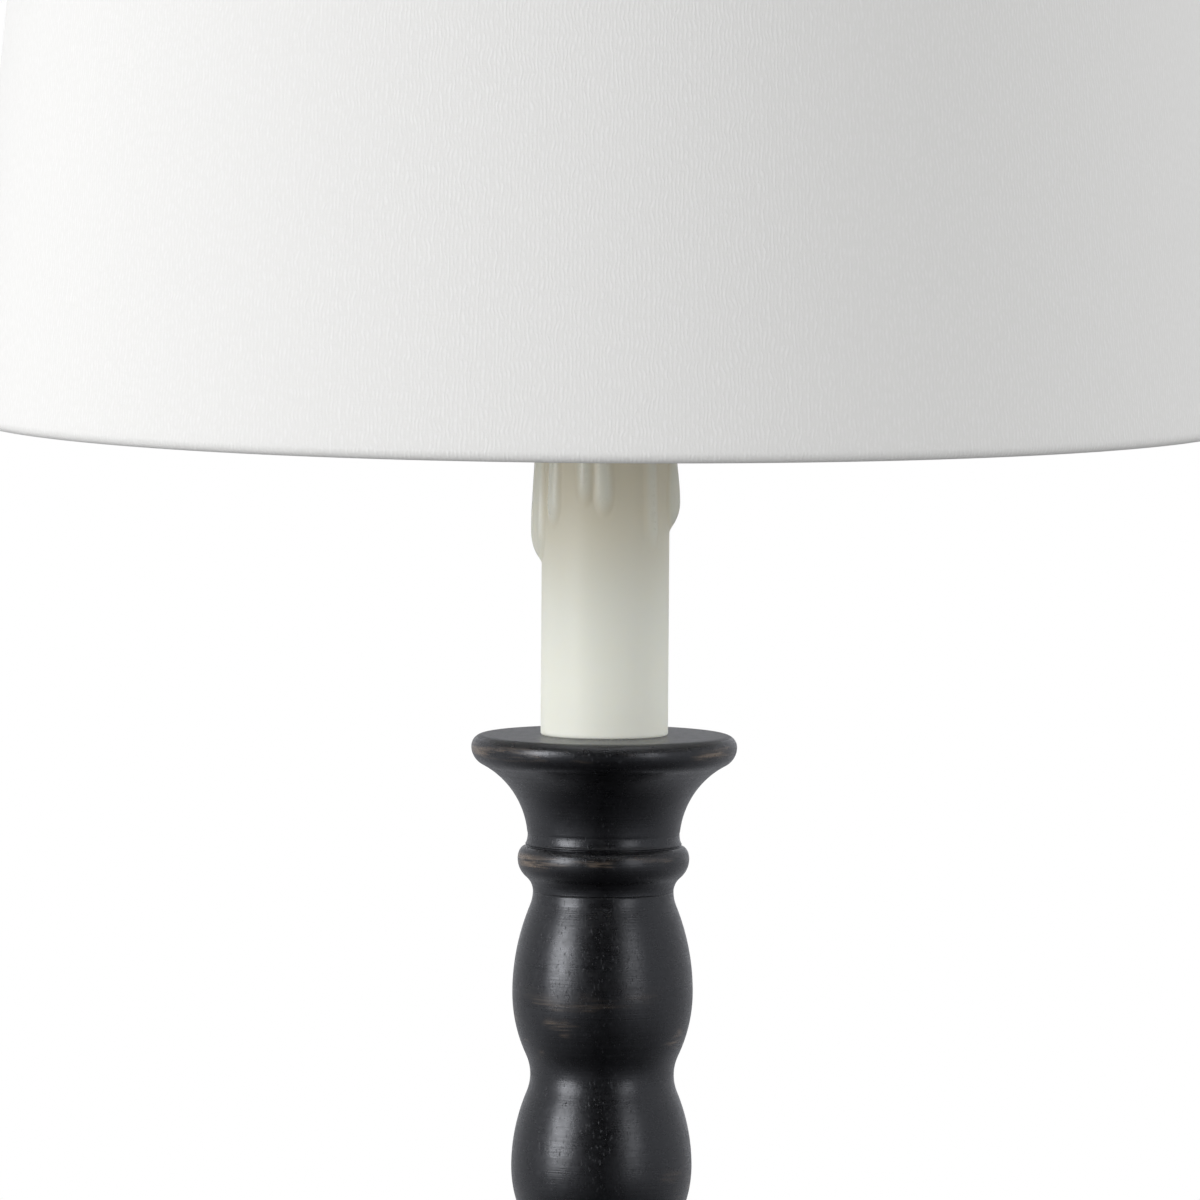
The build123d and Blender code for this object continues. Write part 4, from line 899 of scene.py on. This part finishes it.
floor_paint, add, put = new_finish("floor_paint")
straight = add("LightPath").outputs["Is Camera Ray"]
mottled = blended(add, grain(add, (3, 3, 3), 2), (0.8, 0.8, 0.8, 1), (0.82, 0.82, 0.82, 1))
put("Base Color", blended(add, straight, (0.4, 0.4, 0.4, 1), mottled))
put("Roughness", 0.8)
put("Specular IOR Level", 0.1)
place = add("TexCoord").outputs["Object"]
away = add("VectorMath", {0: place}, operation="LENGTH").outputs["Value"]
faded = calc(add, "MULTIPLY", seen_rays(add), spread(add, away, 0.45, 1.5, 0.5, 1.0))
glow = add("Emission", {"Color": (1, 1, 1, 1), "Strength": 1.0}).outputs[0]
tree = floor_paint.node_tree
paint = tree.nodes["Principled BSDF"].outputs[0]
veil = add("MixShader", {0: faded, 1: paint, 2: glow}).outputs[0]
feed(tree, tree.nodes["Material Output"].inputs["Surface"], veil)
floor.data.materials.append(floor_paint)

world = bpy.data.worlds.new("white_surround")
scene.world = world
world.use_nodes = True
sky = world.node_tree
add = adder(sky)
ahead = add("SeparateXYZ", {0: add("TexCoord").outputs["Generated"]}).outputs
over_floor = spread(add, ahead["Z"], -0.03, 0.03, 0.0, 1.0)
under_roof = spread(add, ahead["Z"], 0.42, 0.68, 1.0, 0.1)
dim_front = spread(add, ahead["Y"], -0.97, -0.75, 0.5, 2.0)
walls = calc(add, "MULTIPLY", calc(add, "MULTIPLY", over_floor, under_roof), dim_front)
level = add("Mix", {"Factor": seen_rays(add), "A": walls, "B": 1.0}).outputs["Result"]
feed(sky, sky.nodes["Background"].inputs["Color"], (1, 1, 1, 1))
feed(sky, sky.nodes["Background"].inputs["Strength"], level)


def softbox(name, bearing, distance, height, wide, tall, power):
    """A tall soft light at a bearing in degrees from the camera's side, positive to the right, that
    faces the axis of the lamp."""
    source = bpy.data.lights.new(name, "AREA")
    source.shape = "RECTANGLE"
    source.size = wide
    source.size_y = tall
    source.energy = power
    light = bpy.data.objects.new(name, source)
    scene.collection.objects.link(light)
    turn = radians(bearing)
    light.matrix_world = (
        Matrix.Translation((distance * np.sin(turn), -distance * np.cos(turn), height))
        @ Matrix.Rotation(turn, 4, "Z") @ Matrix.Rotation(radians(90), 4, "X")
    )


softbox("left_softbox", -58, distance=1.7, height=0.87, wide=0.8, tall=1.04, power=13.2)
softbox("right_softbox", 41, distance=1.7, height=0.87, wide=0.38, tall=1.04, power=2.5)

# Dark cloth. It lies on the floor from the plinth outward and hangs in a wide ring round the lamp,
# black on the camera's side, grey to the sides and palest at the back, so that glossy paint has
# something to mirror. Only reflections see it.
cloth_start = 0.077
cloth_reach = 5.5
cloth_level = 0.003
cloth_rise = 14.0
floor_rows = 30
wall_rows = 20
bearing = np.radians(180 * np.linspace(-1, 1, 145))
floor_reach = np.linspace(cloth_start, cloth_reach, floor_rows)
reach = np.concatenate([floor_reach, np.full(wall_rows, cloth_reach)])[:, None]
wall_rise = np.linspace(0.01, cloth_rise, wall_rows)
rise = np.concatenate([np.full(floor_rows, cloth_level), wall_rise])[:, None]
points = np.stack([reach * np.sin(bearing), -reach * np.cos(bearing), rise + 0 * bearing], -1)
dark_cloth = skin("dark_cloth", points, bearing, np.append(rise, cloth_rise), tube=False)
aside = np.abs(np.degrees(bearing))
round_back = np.clip((aside - 110) / 70, 0, 1)
on_wall = np.clip((aside - 22) / 14, 0, 1) * (0.62 + 0.38 * round_back)
on_floor = np.abs(reach * np.sin(bearing)) / 2.8 + 0.35 * np.clip((aside - 80) / 70, 0, 1)
mark(dark_cloth, "pale", np.where(rise > cloth_level, on_wall, np.clip(on_floor, 0, 0.5)))
black_cloth, add, put = new_finish("black_cloth")
pale = add("Attribute", attribute_name="pale").outputs["Fac"]
woven = grain(add, (40, 40, 40), 2)
black_side = blended(add, woven, (0.006, 0.006, 0.007, 1), (0.012, 0.012, 0.014, 1))
pale_side = blended(add, woven, (0.86, 0.875, 0.93, 1), (0.92, 0.935, 0.98, 1))
put("Base Color", blended(add, pale, black_side, pale_side))
put("Roughness", 1.0)
put("Specular IOR Level", 0.0)
dark_cloth.data.materials.append(black_cloth)
dark_cloth.visible_camera = False
dark_cloth.visible_diffuse = False
dark_cloth.visible_shadow = False
dark_cloth.visible_transmission = False

# Camera. A long lens far in front of the lamp and level with its top, tipped down slightly. It
# shows the lower shade, the candle, the cup and two bobbins.
camera_place = (0, -4.75, 0.8478)
camera_turn = 0.01735
camera_tip = 4.1771
camera_lean = 0.3895
lens = bpy.data.cameras.new("long_lens")
lens.sensor_width = 36
lens.lens = 515.94
lens.clip_end = 30
camera = bpy.data.objects.new("camera", lens)
scene.collection.objects.link(camera)
camera.matrix_world = (
    Matrix.Translation(camera_place) @ Matrix.Rotation(radians(camera_turn), 4, "Z")
    @ Matrix.Rotation(radians(90 - camera_tip), 4, "X")
    @ Matrix.Rotation(radians(camera_lean), 4, "Z")
)
scene.camera = camera

bpy.context.view_layer.update()
